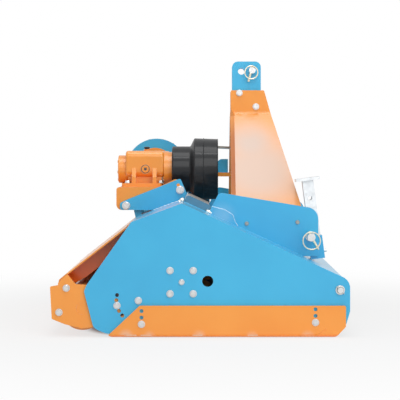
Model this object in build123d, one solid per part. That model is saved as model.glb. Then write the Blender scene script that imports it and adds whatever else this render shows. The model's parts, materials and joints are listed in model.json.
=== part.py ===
from build123d import *
import os
from math import acos, atan2, cos, hypot, radians, sin

# Rear three-point-hitch flail mulcher, all sizes in millimetres.
# X points to the tractor, Y to the machine's left, Z up.
# Sizes are measured from the rotor axis in X, the middle of the cutting
# width in Y and the ground in Z. Every piece is moved to the origin at the end.

# Main sizes
inner_width = 1234.0
side_plate_t = 8.0
rotor_z = 188.0
ridge_z = 457.0
knee_x, knee_z = -173.0, 393.0
lip_x, lip_z = 548.0, 207.0
hood_t = 6.0
hood_bend_r = 8.0
plate_bottom_z = 12.0
plate_front_x = 576.0
plate_rear_x = -334.0
plate_corner_r = 42.0

# Holes of the side plates
service_hole_x, service_hole_z, service_hole_r = 89.0, 191.0, 19.0
arm_pivot_x, arm_pivot_z = -148.0, 125.0
arm_slot_r = 75.0
arm_hole_r = 6.8
arm_hole_angles = (165.5, 179.0, 193.0, 208.0, 223.0)
fine_hole_angles = (167.0, 193.0, 219.0)

# Skids
skid_t = 8.0
skid_top_z = 108.0
skid_foot_w = 68.0
skid_bend_r = 4.0
skid_tail_x, skid_tail_z = -252.0, 6.0
skid_heel_x = -238.0
skid_shoulder_x = -143.0
skid_toe_x = 527.0
skid_nose_x, skid_nose_z = 561.0, 36.0
skid_hole_r = 6.8
skid_hole_rear_x, skid_hole_front_x = -137.0, 457.0
skid_hole_rear_z, skid_hole_front_z = 45.0, 51.0
skid_hole_pitch = 22.5

# Rotor with its hammers
rotor_tube_r = 63.5
rotor_tube_wall = 10.0
rotor_end_t = 10.0
rotor_shaft_r = 25.0
running_fit = 0.06
bearing_gap = 12.0
bearing_flange = 116.0
bearing_flange_t = 16.0
bearing_hub_r = 45.0
bearing_depth = 50.0
hammer_count = 16
hammer_pin_radius = 92.0
hammer_pin_r = 8.0
hammer_bore_gap = 0.3
hammer_head_h = 52.0
hammer_head_w = 92.0
hammer_head_gap = 4.0
hammer_neck_w = 30.0
hammer_neck_t = 18.0
hammer_root_w, hammer_waist_w, hammer_edge_w = 38.0, 48.0, 28.0
hammer_waist_drop = 18.0
hammer_eye_r = 17.0
lug_t = 8.0
lug_gap = 0.6
lug_w = 44.0
lug_tip_r = 20.0
lug_root_radius = 58.0
rotor_turn_per_hammer = 112.5
shaft_end_gap = 1.5

# Rear roller on its arms
roller_x, roller_z = -341.0, 97.0
roller_r = 76.0
roller_wall = 6.0
roller_end_t = 8.0
roller_shaft_r = 20.0
roller_side_gap = 12.0
arm_t = 10.0
arm_rear_x = -451.0
arm_nose, arm_nose_r = 32.0, 24.0
scraper_x, scraper_low_z, scraper_high_z = -443.0, 64.0, 128.0
scraper_t = 8.0

# Rear door
hinge_back, hinge_drop = 5.0, 20.0
hinge_rod_r = 5.0
hinge_eye_r = 10.0
hinge_gap = 0.35
door_angle = 38.1
door_length = 310.0
door_t = 5.0
door_lip = 25.0
door_side_gap = 5.0
cheek_inset = 96.0
cheek_deep, cheek_shallow = 32.0, 18.0
hinge_eye_w = 60.0
hinge_pairs = 3
hinge_side_gap = 1.5

# Front flaps on their rod
flap_rod_x, flap_rod_z = 542.0, 161.0
flap_rod_r = 10.0
flap_rod_overhang = 16.0
flap_eye_wall = 5.5
flap_eye_gap = 0.35
flap_t = 6.0
flap_bottom_z = 14.0
flap_count = 10
flap_space = 4.0
flap_side_gap = 8.0

# Gearbox and its carrier
drive_x, drive_z = -135.0, 566.0
gearbox_rear_x, gearbox_front_x = -222.0, -77.0
gearbox_low_z, gearbox_belly_z, gearbox_high_z = 500.0, 537.0, 636.0
gearbox_half_w = 70.0
gearbox_edge_r, gearbox_end_r = 24.0, 9.0
gearbox_foot_h = 14.0
gearbox_foot_rear_x, gearbox_foot_front_x = -236.0, -84.0
gearbox_foot_side = 12.0
gearbox_neck_half_w = 50.0
gearbox_web_t, gearbox_web_z = 15.0, 572.0
gearbox_web_places = (-190.0, -112.0)
gearbox_cap_r, gearbox_cap_reach, gearbox_cap_edge = 53.0, 30.0, 4.0
gearbox_side_r, gearbox_side_reach = 56.0, 14.0
plug_x, plug_z, plug_boss_r, plug_boss_h = -147.0, 567.0, 19.0, 5.0
vent_x, vent_boss_r, vent_boss_h = -144.0, 12.0, 6.0
input_flange_x = -47.0
input_flange_r, input_flange_t = 66.0, 14.0
housing_flange_r = 69.0
carrier_rear_x, carrier_front_x = -253.0, -22.0
carrier_low_z = 415.0
carrier_t = 8.0
carrier_half_w = 132.0
carrier_slot_x = -80.0
carrier_rise_x, carrier_crest_z = -95.0, 536.0
carrier_edge_r = 10.0
bracket_t = 8.0
knee_rib_y, knee_rib_t = 100.0, 12.0
knee_rib_back, knee_rib_reach, knee_rib_gap = 16.0, 13.0, 3.0
cross_tube_r = 45.0
cross_flange_r, cross_flange_t = 82.0, 10.0

# Power take-off stub and its guard
stub_r = 17.45
stub_length = 92.0
stub_seat_r = 25.0
stub_seat_depth = 30.0
guard_wall = 4.0
guard_small_r, guard_big_r, guard_front_r = 87.0, 118.0, 115.0
guard_step_x, guard_cone_x, guard_front_x = 23.0, 38.0, 128.0
guard_hole_r = 34.0
guard_edge = 6.0
drive_stay_y, drive_stay_t = 262.0, 10.0
drive_stay_low_z, drive_stay_h = 533.0, 16.0
drive_stay_eye_r = 60.0
stay_plate_x, stay_plate_h, stay_plate_r = 128.0, 54.0, 18.0

# Belt cover on the left side
cover_top_x, cover_top_z = -128.0, 557.0
cover_top_r, cover_low_r = 130.0, 78.0
cover_depth = 101.0
cover_boss_top_r, cover_boss_low_r, cover_boss_h = 62.0, 40.0, 4.0
cover_back_t = 5.0
cover_wall = 3.0
cover_rim = 10.0
cover_edge_r = 14.0

# Three-point hitch, category 2
link_span = 825.0
link_pin_x, link_pin_z = 454.0, 332.0
link_pin_r = 14.0
link_pin_reach = 65.0
link_collar_r = 17.0
link_collar_t = 8.0
link_hole_gap = 0.2
hitch_t = 12.0
hitch_heel_x, hitch_rear_x, hitch_front_x = 92.0, 130.0, 483.0
hitch_top_rear_z, hitch_top_front_z = 488.0, 429.0
hitch_clip_z = 261.0
hitch_front_r = 42.0
doubler_t = 6.0
doubler_front_x = 197.0
mast_height = 610.0
ear_gap = 56.0
ear_t = 12.0
ear_rear_x, ear_front_x = 182.0, 291.0
ear_below, ear_above = 156.0, 34.0
ear_corner_r = 22.0
top_pin_x = 258.0
top_pin_r = 12.75
top_pin_reach = 22.0
top_pin_head_r = 18.0
top_pin_head_t = 8.0
spare_hole_x, spare_hole_r, spare_hole_drop = 217.0, 13.0, 3.0
leg_t = 8.0
leg_lap, leg_bend_drop = 80.0, 86.0
leg_rear_x, leg_fold_x, leg_front_x = 176.0, 190.0, 303.0
leg_foot_z, leg_foot_front_x = 432.0, 426.0
leg_bend_r = 12.0
leg_flange_back, leg_flange_in = 16.0, 18.0
tie_drop, tie_t = 80.0, 10.0
tie_rear_x, tie_front_x = 200.0, 300.0
beam_start, beam_length, beam_h, beam_bend_r = 4.0, 93.0, 28.0, 4.0
beam_inner_y = 150.0

# Parking stand in its socket
stand_lean = 7.5
stand_mid_x, stand_mid_z = 478.0, 292.0
socket_w, socket_wall, socket_length = 50.0, 4.5, 82.0
stand_w, stand_wall = 40.0, 4.0
stand_length = 278.0
stand_lift = 4.0
stand_foot_w, stand_foot_t = 85.0, 9.0
stand_hole_r = 7.5
stand_hole_at = 177.0
clamp_r = 5.0
clamp_length = 15.0
clamp_below = 16.5
clamp_gap = 0.3
stub_seat_gap = 0.3

half_inner = inner_width / 2
half_outer = half_inner + side_plate_t


def outline(rows):
    """Closed face from rows of x, z and corner radius."""
    face = make_face(Polyline(*[(x, z) for x, z, r in rows], close=True))
    for x, z, r in rows:
        if r > 0:
            corner = face.vertices().sort_by_distance((x, z, 0))[0]
            face = fillet(corner, r)
    return face


def across(face, y_low, y_high):
    """Extrudes a side-view face between two places across the machine."""
    return extrude(Plane.XZ.offset(-y_high) * face, amount=y_high - y_low)


def along(face, x_low, x_high):
    """Extrudes a rear-view face, drawn in y and z, along the machine."""
    return extrude(Plane.YZ.offset(x_low) * face, amount=x_high - x_low)


def rod_y(x, z, r, y_low, y_high):
    """Round bar across the machine."""
    return across(Pos(x, z) * Circle(r), y_low, y_high)


def rod_x(y, z, r, x_low, x_high):
    """Round bar along the machine."""
    return along(Pos(y, z) * Circle(r), x_low, x_high)


def bent_sheet(path, t, bend_r):
    """Face of a folded sheet: path is its left face and t goes to the right."""
    steps = [(b[0] - a[0], b[1] - a[1]) for a, b in zip(path, path[1:])]
    units = [(dx / hypot(dx, dz), dz / hypot(dx, dz)) for dx, dz in steps]
    sides = [(uz, -ux) for ux, uz in units]
    inner = [(path[0][0] + t * sides[0][0], path[0][1] + t * sides[0][1])]
    for point, a, b in zip(path[1:], sides, sides[1:]):
        scale = t / (1 + a[0] * b[0] + a[1] * b[1])
        inner.append((point[0] + scale * (a[0] + b[0]), point[1] + scale * (a[1] + b[1])))
    last = sides[-1]
    inner.append((path[-1][0] + t * last[0], path[-1][1] + t * last[1]))
    rows_left = [(path[0][0], path[0][1], 0)]
    rows_right = [(inner[0][0], inner[0][1], 0)]
    for i in range(1, len(path) - 1):
        turn = units[i - 1][0] * units[i][1] - units[i - 1][1] * units[i][0]
        left_r, right_r = (bend_r, bend_r + t) if turn > 0 else (bend_r + t, bend_r)
        rows_left.append((path[i][0], path[i][1], left_r))
        rows_right.append((inner[i][0], inner[i][1], right_r))
    rows_left.append((path[-1][0], path[-1][1], 0))
    rows_right.append((inner[-1][0], inner[-1][1], 0))
    return outline(rows_left + rows_right[::-1])


def mirrored(piece):
    """The same piece on the other side of the machine's middle."""
    return mirror(piece, about=Plane.XZ)


def hood_z(x):
    """Height of the hood's outer face above the ground."""
    if x >= 0:
        return ridge_z + (lip_z - ridge_z) * x / lip_x
    return ridge_z + (knee_z - ridge_z) * x / knee_x


def block(x_low, x_high, half_w, z_low, z_high):
    """Box about the machine's middle plane."""
    size = Box(x_high - x_low, 2 * half_w, z_high - z_low)
    return Pos((x_low + x_high) / 2, 0, (z_low + z_high) / 2) * size


nodes = {}

# Side plates
plate_rows = [
    # x, z, corner radius
    (0.0, ridge_z, 0),
    (plate_front_x, hood_z(plate_front_x), plate_corner_r),
    (plate_front_x, 89.0, 30),
    (563.0, 44.0, 20),
    (skid_toe_x, plate_bottom_z, 10),
    (-258.0, plate_bottom_z, 30),
    (-301.0, 30.0, 28),
    (plate_rear_x, 156.0, 12),
    (-326.0, 177.0, 12),
    (knee_x, knee_z, 0),
]
plate_face = outline(plate_rows)


def arm_hole(angle):
    """Hole on the arc about the roller arms' pivot."""
    a = radians(angle)
    return Pos(arm_pivot_x + arm_slot_r * cos(a), arm_pivot_z + arm_slot_r * sin(a)) * Circle(arm_hole_r)


pivot_hole = Pos(arm_pivot_x, arm_pivot_z) * Circle(arm_hole_r)
plate_face -= pivot_hole
for angle in arm_hole_angles:
    plate_face -= arm_hole(angle)
plate_face -= Pos(service_hole_x, service_hole_z) * Circle(service_hole_r)
plate_face -= Pos(flap_rod_x, flap_rod_z) * Circle(flap_rod_r + flap_eye_gap)
nodes["side_plate_left"] = across(plate_face, half_inner, half_outer)
nodes["side_plate_right"] = mirrored(nodes["side_plate_left"])

# Hood sheet with the fixed eyes of the rear door and two ribs at the knee
hinge_x, hinge_z = knee_x - hinge_back, knee_z - hinge_drop
hinge_hole_r = hinge_rod_r + hinge_gap
eye_spacing = inner_width / (hinge_pairs + 1)
eye_places = [eye_spacing * (i + 1) - half_inner for i in range(hinge_pairs)]
rib_front_x = knee_x + knee_rib_reach
rib_front_z = hood_z(rib_front_x) - hood_t / 2
fixed_eye = outline([
    (knee_x, knee_z, 0),
    (hinge_x - hinge_eye_r, hinge_z, 0),
    (hinge_x + hinge_eye_r, hinge_z, 0),
    (rib_front_x, rib_front_z, 0),
])
fixed_eye += Pos(hinge_x, hinge_z) * Circle(hinge_eye_r)
fixed_eye -= Pos(hinge_x, hinge_z) * Circle(hinge_hole_r)
rib_tip_z = hinge_z + hinge_rod_r + knee_rib_gap
knee_rib = outline([
    (knee_x - knee_rib_back, carrier_low_z, 0),
    (knee_x - knee_rib_back / 2, rib_tip_z, 0),
    (knee_x, rib_tip_z + knee_rib_gap, 0),
    (rib_front_x, rib_front_z, 0),
    (rib_front_x, carrier_low_z, 0),
])
hood_path = [(knee_x, knee_z), (0.0, ridge_z), (lip_x, lip_z)]
hood = across(bent_sheet(hood_path, hood_t, hood_bend_r), -half_inner, half_inner)
for y in eye_places:
    hood += across(fixed_eye, y - hinge_eye_w / 2, y + hinge_eye_w / 2)
rib = across(knee_rib, knee_rib_y, knee_rib_y + knee_rib_t)
nodes["hood_sheet"] = hood + rib + mirrored(rib)

# Rear door, drawn from the hinge down along its closed angle
door_a = radians(door_angle)
door_half_w = half_inner - arm_t - door_side_gap


def door_point(s, n):
    """Place at s along the door from the hinge and n out of its face."""
    return (hinge_x - s * cos(door_a) - n * sin(door_a), hinge_z - s * sin(door_a) + n * cos(door_a))


door_start = hinge_eye_r + door_side_gap
door_back = hinge_eye_r - door_t
door_path = [
    door_point(door_length, hinge_eye_r - door_lip),
    door_point(door_length, hinge_eye_r),
    door_point(door_start, hinge_eye_r),
]
door = across(bent_sheet(door_path, door_t, hood_bend_r), -door_half_w, door_half_w)
door_eye = outline([
    (*door_point(0, hinge_eye_r), 0),
    (*door_point(door_start, hinge_eye_r), 0),
    (*door_point(door_start, door_back), 0),
    (*door_point(0, door_back), 0),
])
door_eye += Pos(hinge_x, hinge_z) * Circle(hinge_eye_r)
door_eye -= Pos(hinge_x, hinge_z) * Circle(hinge_hole_r)
cheek_top, cheek_end = door_start + door_lip, door_length - door_t
cheek = outline([
    (*door_point(cheek_top, door_back), 0),
    (*door_point(cheek_end, door_back), 0),
    (*door_point(cheek_end, -cheek_deep), 10),
    (*door_point(cheek_top + door_lip, -cheek_shallow), 10),
])
for y in eye_places:
    for side in (-1, 1):
        near = y + side * (hinge_eye_w / 2 + hinge_side_gap)
        far = y + side * (hinge_eye_w + hinge_side_gap)
        door += across(door_eye, min(near, far), max(near, far))
door_cheek = across(cheek, door_half_w - cheek_inset - door_t, door_half_w - cheek_inset)
nodes["rear_door"] = door + door_cheek + mirrored(door_cheek)
nodes["hinge_rod"] = rod_y(hinge_x, hinge_z, hinge_rod_r, -half_inner, half_inner)

# Skids: a folded angle, cut to the skid's outline
skid_rows = [
    # x, z, corner radius
    (skid_shoulder_x, skid_top_z, 6),
    (skid_nose_x, skid_top_z, 6),
    (skid_nose_x, skid_nose_z, 8),
    (skid_toe_x, 0.0, 24),
    (skid_heel_x, 0.0, 8),
    (skid_tail_x, skid_tail_z, 3),
]
skid_holes = [
    # x, height of the lowest hole
    (skid_hole_rear_x, skid_hole_rear_z),
    (skid_hole_front_x, skid_hole_front_z),
]
skid_out = half_outer + skid_t
skid_in = skid_out - skid_foot_w
skid_angle = bent_sheet([(skid_out, skid_top_z), (skid_out, 0.0), (skid_in, 0.0)], skid_t, skid_bend_r)
skid = along(skid_angle, skid_tail_x, skid_nose_x) & across(outline(skid_rows), skid_in, skid_out)
for x, low_z in skid_holes:
    for row in range(3):
        skid -= rod_y(x, low_z + row * skid_hole_pitch, skid_hole_r, half_outer, skid_out)
nodes["skid_left"] = skid
nodes["skid_right"] = mirrored(skid)

# Bearing housings inside the side plates
housing_face = Pos(0, rotor_z) * RectangleRounded(bearing_flange, bearing_flange, 20)
bearing = across(housing_face, half_inner - bearing_flange_t, half_inner)
bearing += rod_y(0, rotor_z, bearing_hub_r, half_inner - bearing_depth, half_inner - bearing_flange_t)
bearing -= rod_y(0, rotor_z, rotor_shaft_r + running_fit, half_inner - bearing_depth, half_inner)
nodes["bearing_left"] = bearing
nodes["bearing_right"] = mirrored(bearing)

# Rotor: tube with pairs of lugs, end discs and shaft ends
rotor_half = half_inner - bearing_depth - bearing_gap
station_pitch = 2 * rotor_half / hammer_count
rotor = rod_y(0, rotor_z, rotor_tube_r, -rotor_half, rotor_half)
rotor -= rod_y(0, rotor_z, rotor_tube_r - rotor_tube_wall, -rotor_half, rotor_half)
hammer_hole_r = hammer_pin_r + hammer_bore_gap
lug_face = outline([
    (-lug_w / 2, lug_root_radius, 0),
    (-lug_w / 2, hammer_pin_radius, 0),
    (-lug_tip_r / 2, hammer_pin_radius + lug_tip_r, 8),
    (lug_tip_r / 2, hammer_pin_radius + lug_tip_r, 8),
    (lug_w / 2, hammer_pin_radius, 0),
    (lug_w / 2, lug_root_radius, 0),
])
lug_face -= Pos(0, hammer_pin_radius) * Circle(hammer_hole_r)
hammer_head_root = hammer_pin_radius + lug_tip_r + hammer_head_gap
hammer_tip_radius = hammer_head_root + hammer_head_h
hammer_waist_radius = hammer_tip_radius - hammer_waist_drop
head_face = outline([
    (-hammer_root_w / 2, hammer_head_root, 5),
    (-hammer_waist_w / 2, hammer_waist_radius, 8),
    (-hammer_edge_w / 2, hammer_tip_radius, 5),
    (hammer_edge_w / 2, hammer_tip_radius, 5),
    (hammer_waist_w / 2, hammer_waist_radius, 8),
    (hammer_root_w / 2, hammer_head_root, 5),
])
neck_mid = (hammer_pin_radius + hammer_waist_radius) / 2
neck_face = Pos(0, neck_mid) * Rectangle(hammer_neck_t, hammer_waist_radius - hammer_pin_radius)
neck_face += Pos(0, hammer_pin_radius) * Circle(hammer_eye_r)
hammer = across(neck_face, -hammer_neck_w / 2, hammer_neck_w / 2)
hammer += across(head_face, -hammer_head_w / 2, hammer_head_w / 2)
hammer -= rod_y(0, hammer_pin_radius, hammer_hole_r, -hammer_neck_w, hammer_neck_w)
lug_in = hammer_neck_w / 2 + lug_gap
lug_out = lug_in + lug_t
lug_pair = across(lug_face, -lug_out, -lug_in) + across(lug_face, lug_in, lug_out)
pin = rod_y(0, hammer_pin_radius, hammer_pin_r, -lug_out - hammer_pin_r, lug_out + hammer_pin_r)
lugs, hammers, pins = [], [], []
for i in range(hammer_count):
    y = station_pitch * (i + 0.5) - rotor_half
    place = Pos(0, y, rotor_z) * Rot(0, i * rotor_turn_per_hammer, 0)
    lugs.append(place * lug_pair)
    hammers.append(place * hammer)
    pins.append(place * pin)
rotor += lugs
end_piece = rod_y(0, rotor_z, rotor_tube_r, rotor_half, rotor_half + rotor_end_t / 2)
end_piece += rod_y(0, rotor_z, rotor_shaft_r, rotor_half, half_inner - shaft_end_gap)
nodes["rotor_tube"] = rotor
nodes["rotor_shafts"] = Compound([end_piece, mirrored(end_piece)])
nodes["hammers"] = Compound(hammers)
nodes["hammer_pins"] = Compound(pins)

# Roller arms, roller and scraper
arm_rows = [
    # x, z, corner radius
    (arm_rear_x, 172.0, 4),
    (-423.0, 177.0, 0),
    (-424.0, 184.0, 3),
    (-392.0, 215.0, 6),
    (-363.0, 180.0, 10),
    (-300.0, 177.0, 10),
    (arm_pivot_x + arm_nose, arm_pivot_z + arm_nose, arm_nose_r),
    (arm_pivot_x + arm_nose, arm_pivot_z - arm_nose, arm_nose_r),
    (-303.0, 33.0, 20),
    (-343.0, 29.0, 12),
    (-400.0, 43.0, 12),
    (-445.0, 61.0, 4),
]
arm_face = outline(arm_rows)
blade_face = Pos(scraper_x + scraper_t / 2, (scraper_low_z + scraper_high_z) / 2)
blade_face *= Rectangle(scraper_t, scraper_high_z - scraper_low_z)
nodes["scraper"] = across(blade_face, arm_t - half_inner, half_inner - arm_t)
arm_face -= Pos(roller_x, roller_z) * Circle(roller_shaft_r + running_fit)
arm_face -= pivot_hole
for angle in fine_hole_angles:
    arm_face -= arm_hole(angle)
nodes["roller_arm_left"] = across(arm_face, half_inner - arm_t, half_inner)
nodes["roller_arm_right"] = mirrored(nodes["roller_arm_left"])
roller_half = half_inner - arm_t - roller_side_gap
roller_bore_r = roller_r - roller_wall
roller = rod_y(roller_x, roller_z, roller_r, -roller_half, roller_half)
roller -= rod_y(roller_x, roller_z, roller_bore_r, -roller_half, roller_half)
disc_out = roller_half - roller_end_t
roller_end = rod_y(roller_x, roller_z, roller_bore_r, disc_out - roller_end_t, disc_out)
roller_end += rod_y(roller_x, roller_z, roller_shaft_r, disc_out, half_inner - shaft_end_gap)
roller += [roller_end, mirrored(roller_end)]
nodes["rear_roller"] = roller

# Front flaps on their rod
rod_half = half_outer + flap_rod_overhang
nodes["flap_rod"] = rod_y(flap_rod_x, flap_rod_z, flap_rod_r, -rod_half, rod_half)
flap_hole_r = flap_rod_r + flap_eye_gap
flap_eye = Pos(flap_rod_x, flap_rod_z) * Circle(flap_hole_r + flap_eye_wall)
flap_leaf = Pos(flap_rod_x, (flap_rod_z + flap_bottom_z) / 2) * Rectangle(flap_t, flap_rod_z - flap_bottom_z)
flap_face = flap_eye + flap_leaf - Pos(flap_rod_x, flap_rod_z) * Circle(flap_hole_r)
flap_field = inner_width - 2 * flap_side_gap
flap_pitch = (flap_field + flap_space) / flap_count
flaps = []
for i in range(flap_count):
    y = flap_side_gap - half_inner + i * flap_pitch
    flaps.append(across(flap_face, y, y + flap_pitch - flap_space))
nodes["front_flaps"] = Compound(flaps)

# Gearbox: rounded body on a narrow neck and a ribbed foot
body_low = gearbox_low_z + gearbox_foot_h
body_rows = [
    # y, z, corner radius
    (-gearbox_half_w, gearbox_belly_z, gearbox_edge_r),
    (-gearbox_half_w, gearbox_high_z, gearbox_edge_r),
    (gearbox_half_w, gearbox_high_z, gearbox_edge_r),
    (gearbox_half_w, gearbox_belly_z, gearbox_edge_r),
]
gearbox = along(outline(body_rows), gearbox_rear_x, gearbox_front_x)
for end in (0, -1):
    gearbox = fillet(gearbox.faces().sort_by(Axis.X)[end].edges(), gearbox_end_r)
neck_low_x, neck_high_x = gearbox_rear_x + gearbox_end_r, gearbox_front_x - gearbox_end_r
gearbox += block(neck_low_x, neck_high_x, gearbox_neck_half_w, body_low, gearbox_belly_z + gearbox_end_r)
foot_half_w = gearbox_half_w + gearbox_foot_side
foot = block(gearbox_foot_rear_x, gearbox_foot_front_x, foot_half_w, gearbox_low_z, body_low)
gearbox += fillet(foot.edges().filter_by(Axis.Z), gearbox_end_r)
web_face = outline([
    (-foot_half_w, body_low, 0),
    (-foot_half_w, gearbox_belly_z, 0),
    (-gearbox_half_w, gearbox_web_z, 0),
    (gearbox_half_w, gearbox_web_z, 0),
    (foot_half_w, gearbox_belly_z, 0),
    (foot_half_w, body_low, 0),
])
for x in gearbox_web_places:
    gearbox += along(web_face, x - gearbox_web_t / 2, x + gearbox_web_t / 2)
cap = rod_x(0, drive_z, gearbox_cap_r, gearbox_rear_x - gearbox_cap_reach, neck_low_x)
gearbox += fillet(cap.faces().sort_by(Axis.X)[0].edges(), gearbox_cap_edge)
side_reach = gearbox_half_w + gearbox_side_reach
gearbox += rod_y(drive_x, drive_z, gearbox_side_r, 0, side_reach)
gearbox += rod_y(plug_x, plug_z, plug_boss_r, -gearbox_half_w - plug_boss_h, -gearbox_neck_half_w)
gearbox += Pos(vent_x, 0, gearbox_high_z) * Cylinder(vent_boss_r, 2 * vent_boss_h)
input_flange_back = input_flange_x - input_flange_t
gearbox += rod_x(0, drive_z, housing_flange_r, gearbox_front_x, input_flange_back)
gearbox += rod_x(0, drive_z, input_flange_r, input_flange_back, input_flange_x)
gearbox -= rod_x(0, drive_z, stub_seat_r + running_fit, input_flange_x - stub_seat_depth, input_flange_x)
nodes["gearbox"] = gearbox

# Carrier under the gearbox and the plates that hold it on the hood
carrier_foot_x = knee_x * (ridge_z - carrier_low_z) / (ridge_z - knee_z)
flank_face = outline([
    (carrier_rear_x, carrier_low_z, 20),
    (carrier_rear_x, gearbox_low_z, carrier_edge_r),
    (carrier_rise_x, gearbox_low_z, 0),
    (carrier_front_x, carrier_crest_z, carrier_edge_r),
    (carrier_front_x, hood_z(carrier_front_x), 0),
    (carrier_foot_x, carrier_low_z, 0),
])
flank = across(flank_face, carrier_half_w - carrier_t, carrier_half_w)
deck_low_z, deck_rear_x = gearbox_low_z - carrier_t, carrier_rear_x + carrier_edge_r
deck = block(deck_rear_x, carrier_slot_x, carrier_half_w - carrier_t, deck_low_z, gearbox_low_z)
nodes["gearbox_carrier"] = flank + mirrored(flank) + deck
bracket_rows = [
    # x, z, corner radius
    (-239.0, carrier_low_z, 10),
    (carrier_foot_x, carrier_low_z, 0),
    (0.0, ridge_z, 0),
    (6.0, hood_z(6.0), 0),
    (10.0, 478.0, 6),
    (-13.0, 533.0, 8),
    (-210.0, 455.0, 12),
    (-239.0, 441.0, 8),
]
nodes["bracket_left"] = across(outline(bracket_rows), carrier_half_w, carrier_half_w + bracket_t)
nodes["bracket_right"] = mirrored(nodes["bracket_left"])
cross_tube = rod_y(drive_x, drive_z, cross_tube_r, side_reach, half_outer)
cross_tube += rod_y(drive_x, drive_z, cross_flange_r, half_outer - cross_flange_t, half_outer)
nodes["cross_tube"] = cross_tube

# Power take-off stub and its bell-shaped guard
seat_x = input_flange_x - stub_seat_depth + stub_seat_gap
stub = rod_x(0, drive_z, stub_seat_r, seat_x, input_flange_x)
stub += rod_x(0, drive_z, stub_r, input_flange_x, input_flange_x + stub_length)
nodes["input_stub"] = stub
guard_rows = [
    # x, radius about the drive axis, corner radius
    (input_flange_x, guard_hole_r, 0),
    (input_flange_x, guard_small_r, guard_edge),
    (guard_step_x, guard_small_r, guard_edge),
    (guard_cone_x, guard_big_r, guard_edge),
    (guard_front_x, guard_front_r, 0),
    (guard_front_x, guard_front_r - guard_wall, 0),
    (guard_cone_x + guard_wall / 2, guard_big_r - guard_wall, 0),
    (guard_step_x + guard_wall / 2, guard_small_r - guard_wall, 0),
    (input_flange_x + guard_wall, guard_small_r - guard_wall, 0),
    (input_flange_x + guard_wall, guard_hole_r, 0),
]
guard_face = Plane.XZ * outline([(x, drive_z + radius, r) for x, radius, r in guard_rows])
nodes["stub_guard"] = revolve(guard_face, axis=Axis((0, 0, drive_z), (1, 0, 0)))

# Belt cover: a back plate and a deep pressed pan with two round bosses
drop_x, drop_z = -cover_top_x, rotor_z - cover_top_z
belt_centres = hypot(drop_x, drop_z)


def belt_outline(top_r, low_r):
    """Two circles, round the upper pulley and the rotor axis, with straight sides."""
    heading = atan2(drop_z, drop_x)
    spread = acos((top_r - low_r) / belt_centres)
    upper, lower = [], []
    for turn in (spread, -spread):
        nx, nz = cos(heading + turn), sin(heading + turn)
        upper.append((cover_top_x + top_r * nx, cover_top_z + top_r * nz))
        lower.append((low_r * nx, rotor_z + low_r * nz))
    flat = make_face(Polyline(upper[0], lower[0], lower[1], upper[1], close=True))
    return flat + Pos(cover_top_x, cover_top_z) * Circle(top_r) + Pos(0, rotor_z) * Circle(low_r)


cover_y = half_outer + cover_back_t
cover_face_y = cover_y + cover_depth
cover_out = cover_face_y + cover_boss_h
pan = across(belt_outline(cover_top_r - cover_rim, cover_low_r - cover_rim), cover_y, cover_face_y)
pan = fillet(pan.faces().sort_by(Axis.Y)[-1].edges(), cover_edge_r)
hollow_top, hollow_low = cover_top_r - cover_rim - cover_wall, cover_low_r - cover_rim - cover_wall
hollow = across(belt_outline(hollow_top, hollow_low), cover_y, cover_face_y - cover_wall)
pan -= fillet(hollow.faces().sort_by(Axis.Y)[-1].edges(), cover_edge_r - cover_wall)
pan += rod_y(cover_top_x, cover_top_z, cover_boss_top_r, cover_face_y - cover_wall, cover_out)
pan += rod_y(0, rotor_z, cover_boss_low_r, cover_face_y - cover_wall, cover_out)
rim = across(belt_outline(cover_top_r, cover_low_r), cover_y, cover_y + cover_wall)
rim -= across(belt_outline(hollow_top, hollow_low), cover_y, cover_y + cover_wall)
nodes["belt_cover"] = pan + rim
nodes["belt_back_plate"] = across(belt_outline(cover_top_r, cover_low_r), half_outer, cover_y)

# Hitch plates with foot doublers, and the lower link pins
hitch_out = link_span / 2 - link_collar_t
hitch_in = hitch_out - hitch_t
clip_x = lip_x * (ridge_z - hitch_clip_z) / (ridge_z - lip_z)
hitch_rows = [
    # x, z, corner radius
    (hitch_heel_x, hood_z(hitch_heel_x), 0),
    (hitch_rear_x, hitch_top_rear_z, 15),
    (hitch_front_x, hitch_top_front_z, hitch_front_r),
    (hitch_front_x, hitch_clip_z, 4),
    (clip_x, hitch_clip_z, 0),
]
doubler_rows = [
    # x, z, corner radius
    (hitch_heel_x, hood_z(hitch_heel_x), 0),
    (104.0, 438.0, 0),
    (149.0, 427.0, 20),
    (178.0, 409.0, 14),
    (186.0, 385.0, 10),
    (doubler_front_x, hood_z(doubler_front_x), 0),
]
hitch_face = outline(hitch_rows)
hitch_face -= Pos(link_pin_x, link_pin_z) * Circle(link_pin_r + link_hole_gap)
hitch = across(hitch_face, hitch_in, hitch_out)
hitch += across(outline(doubler_rows), hitch_out, hitch_out + doubler_t)
nodes["hitch_plate_left"] = hitch
nodes["hitch_plate_right"] = mirrored(hitch)
link_pin = rod_y(link_pin_x, link_pin_z, link_pin_r, hitch_in, link_span / 2 + link_pin_reach)
link_pin += rod_y(link_pin_x, link_pin_z, link_collar_r, hitch_out, link_span / 2)
nodes["link_pin_left"] = link_pin
nodes["link_pin_right"] = mirrored(link_pin)

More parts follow.
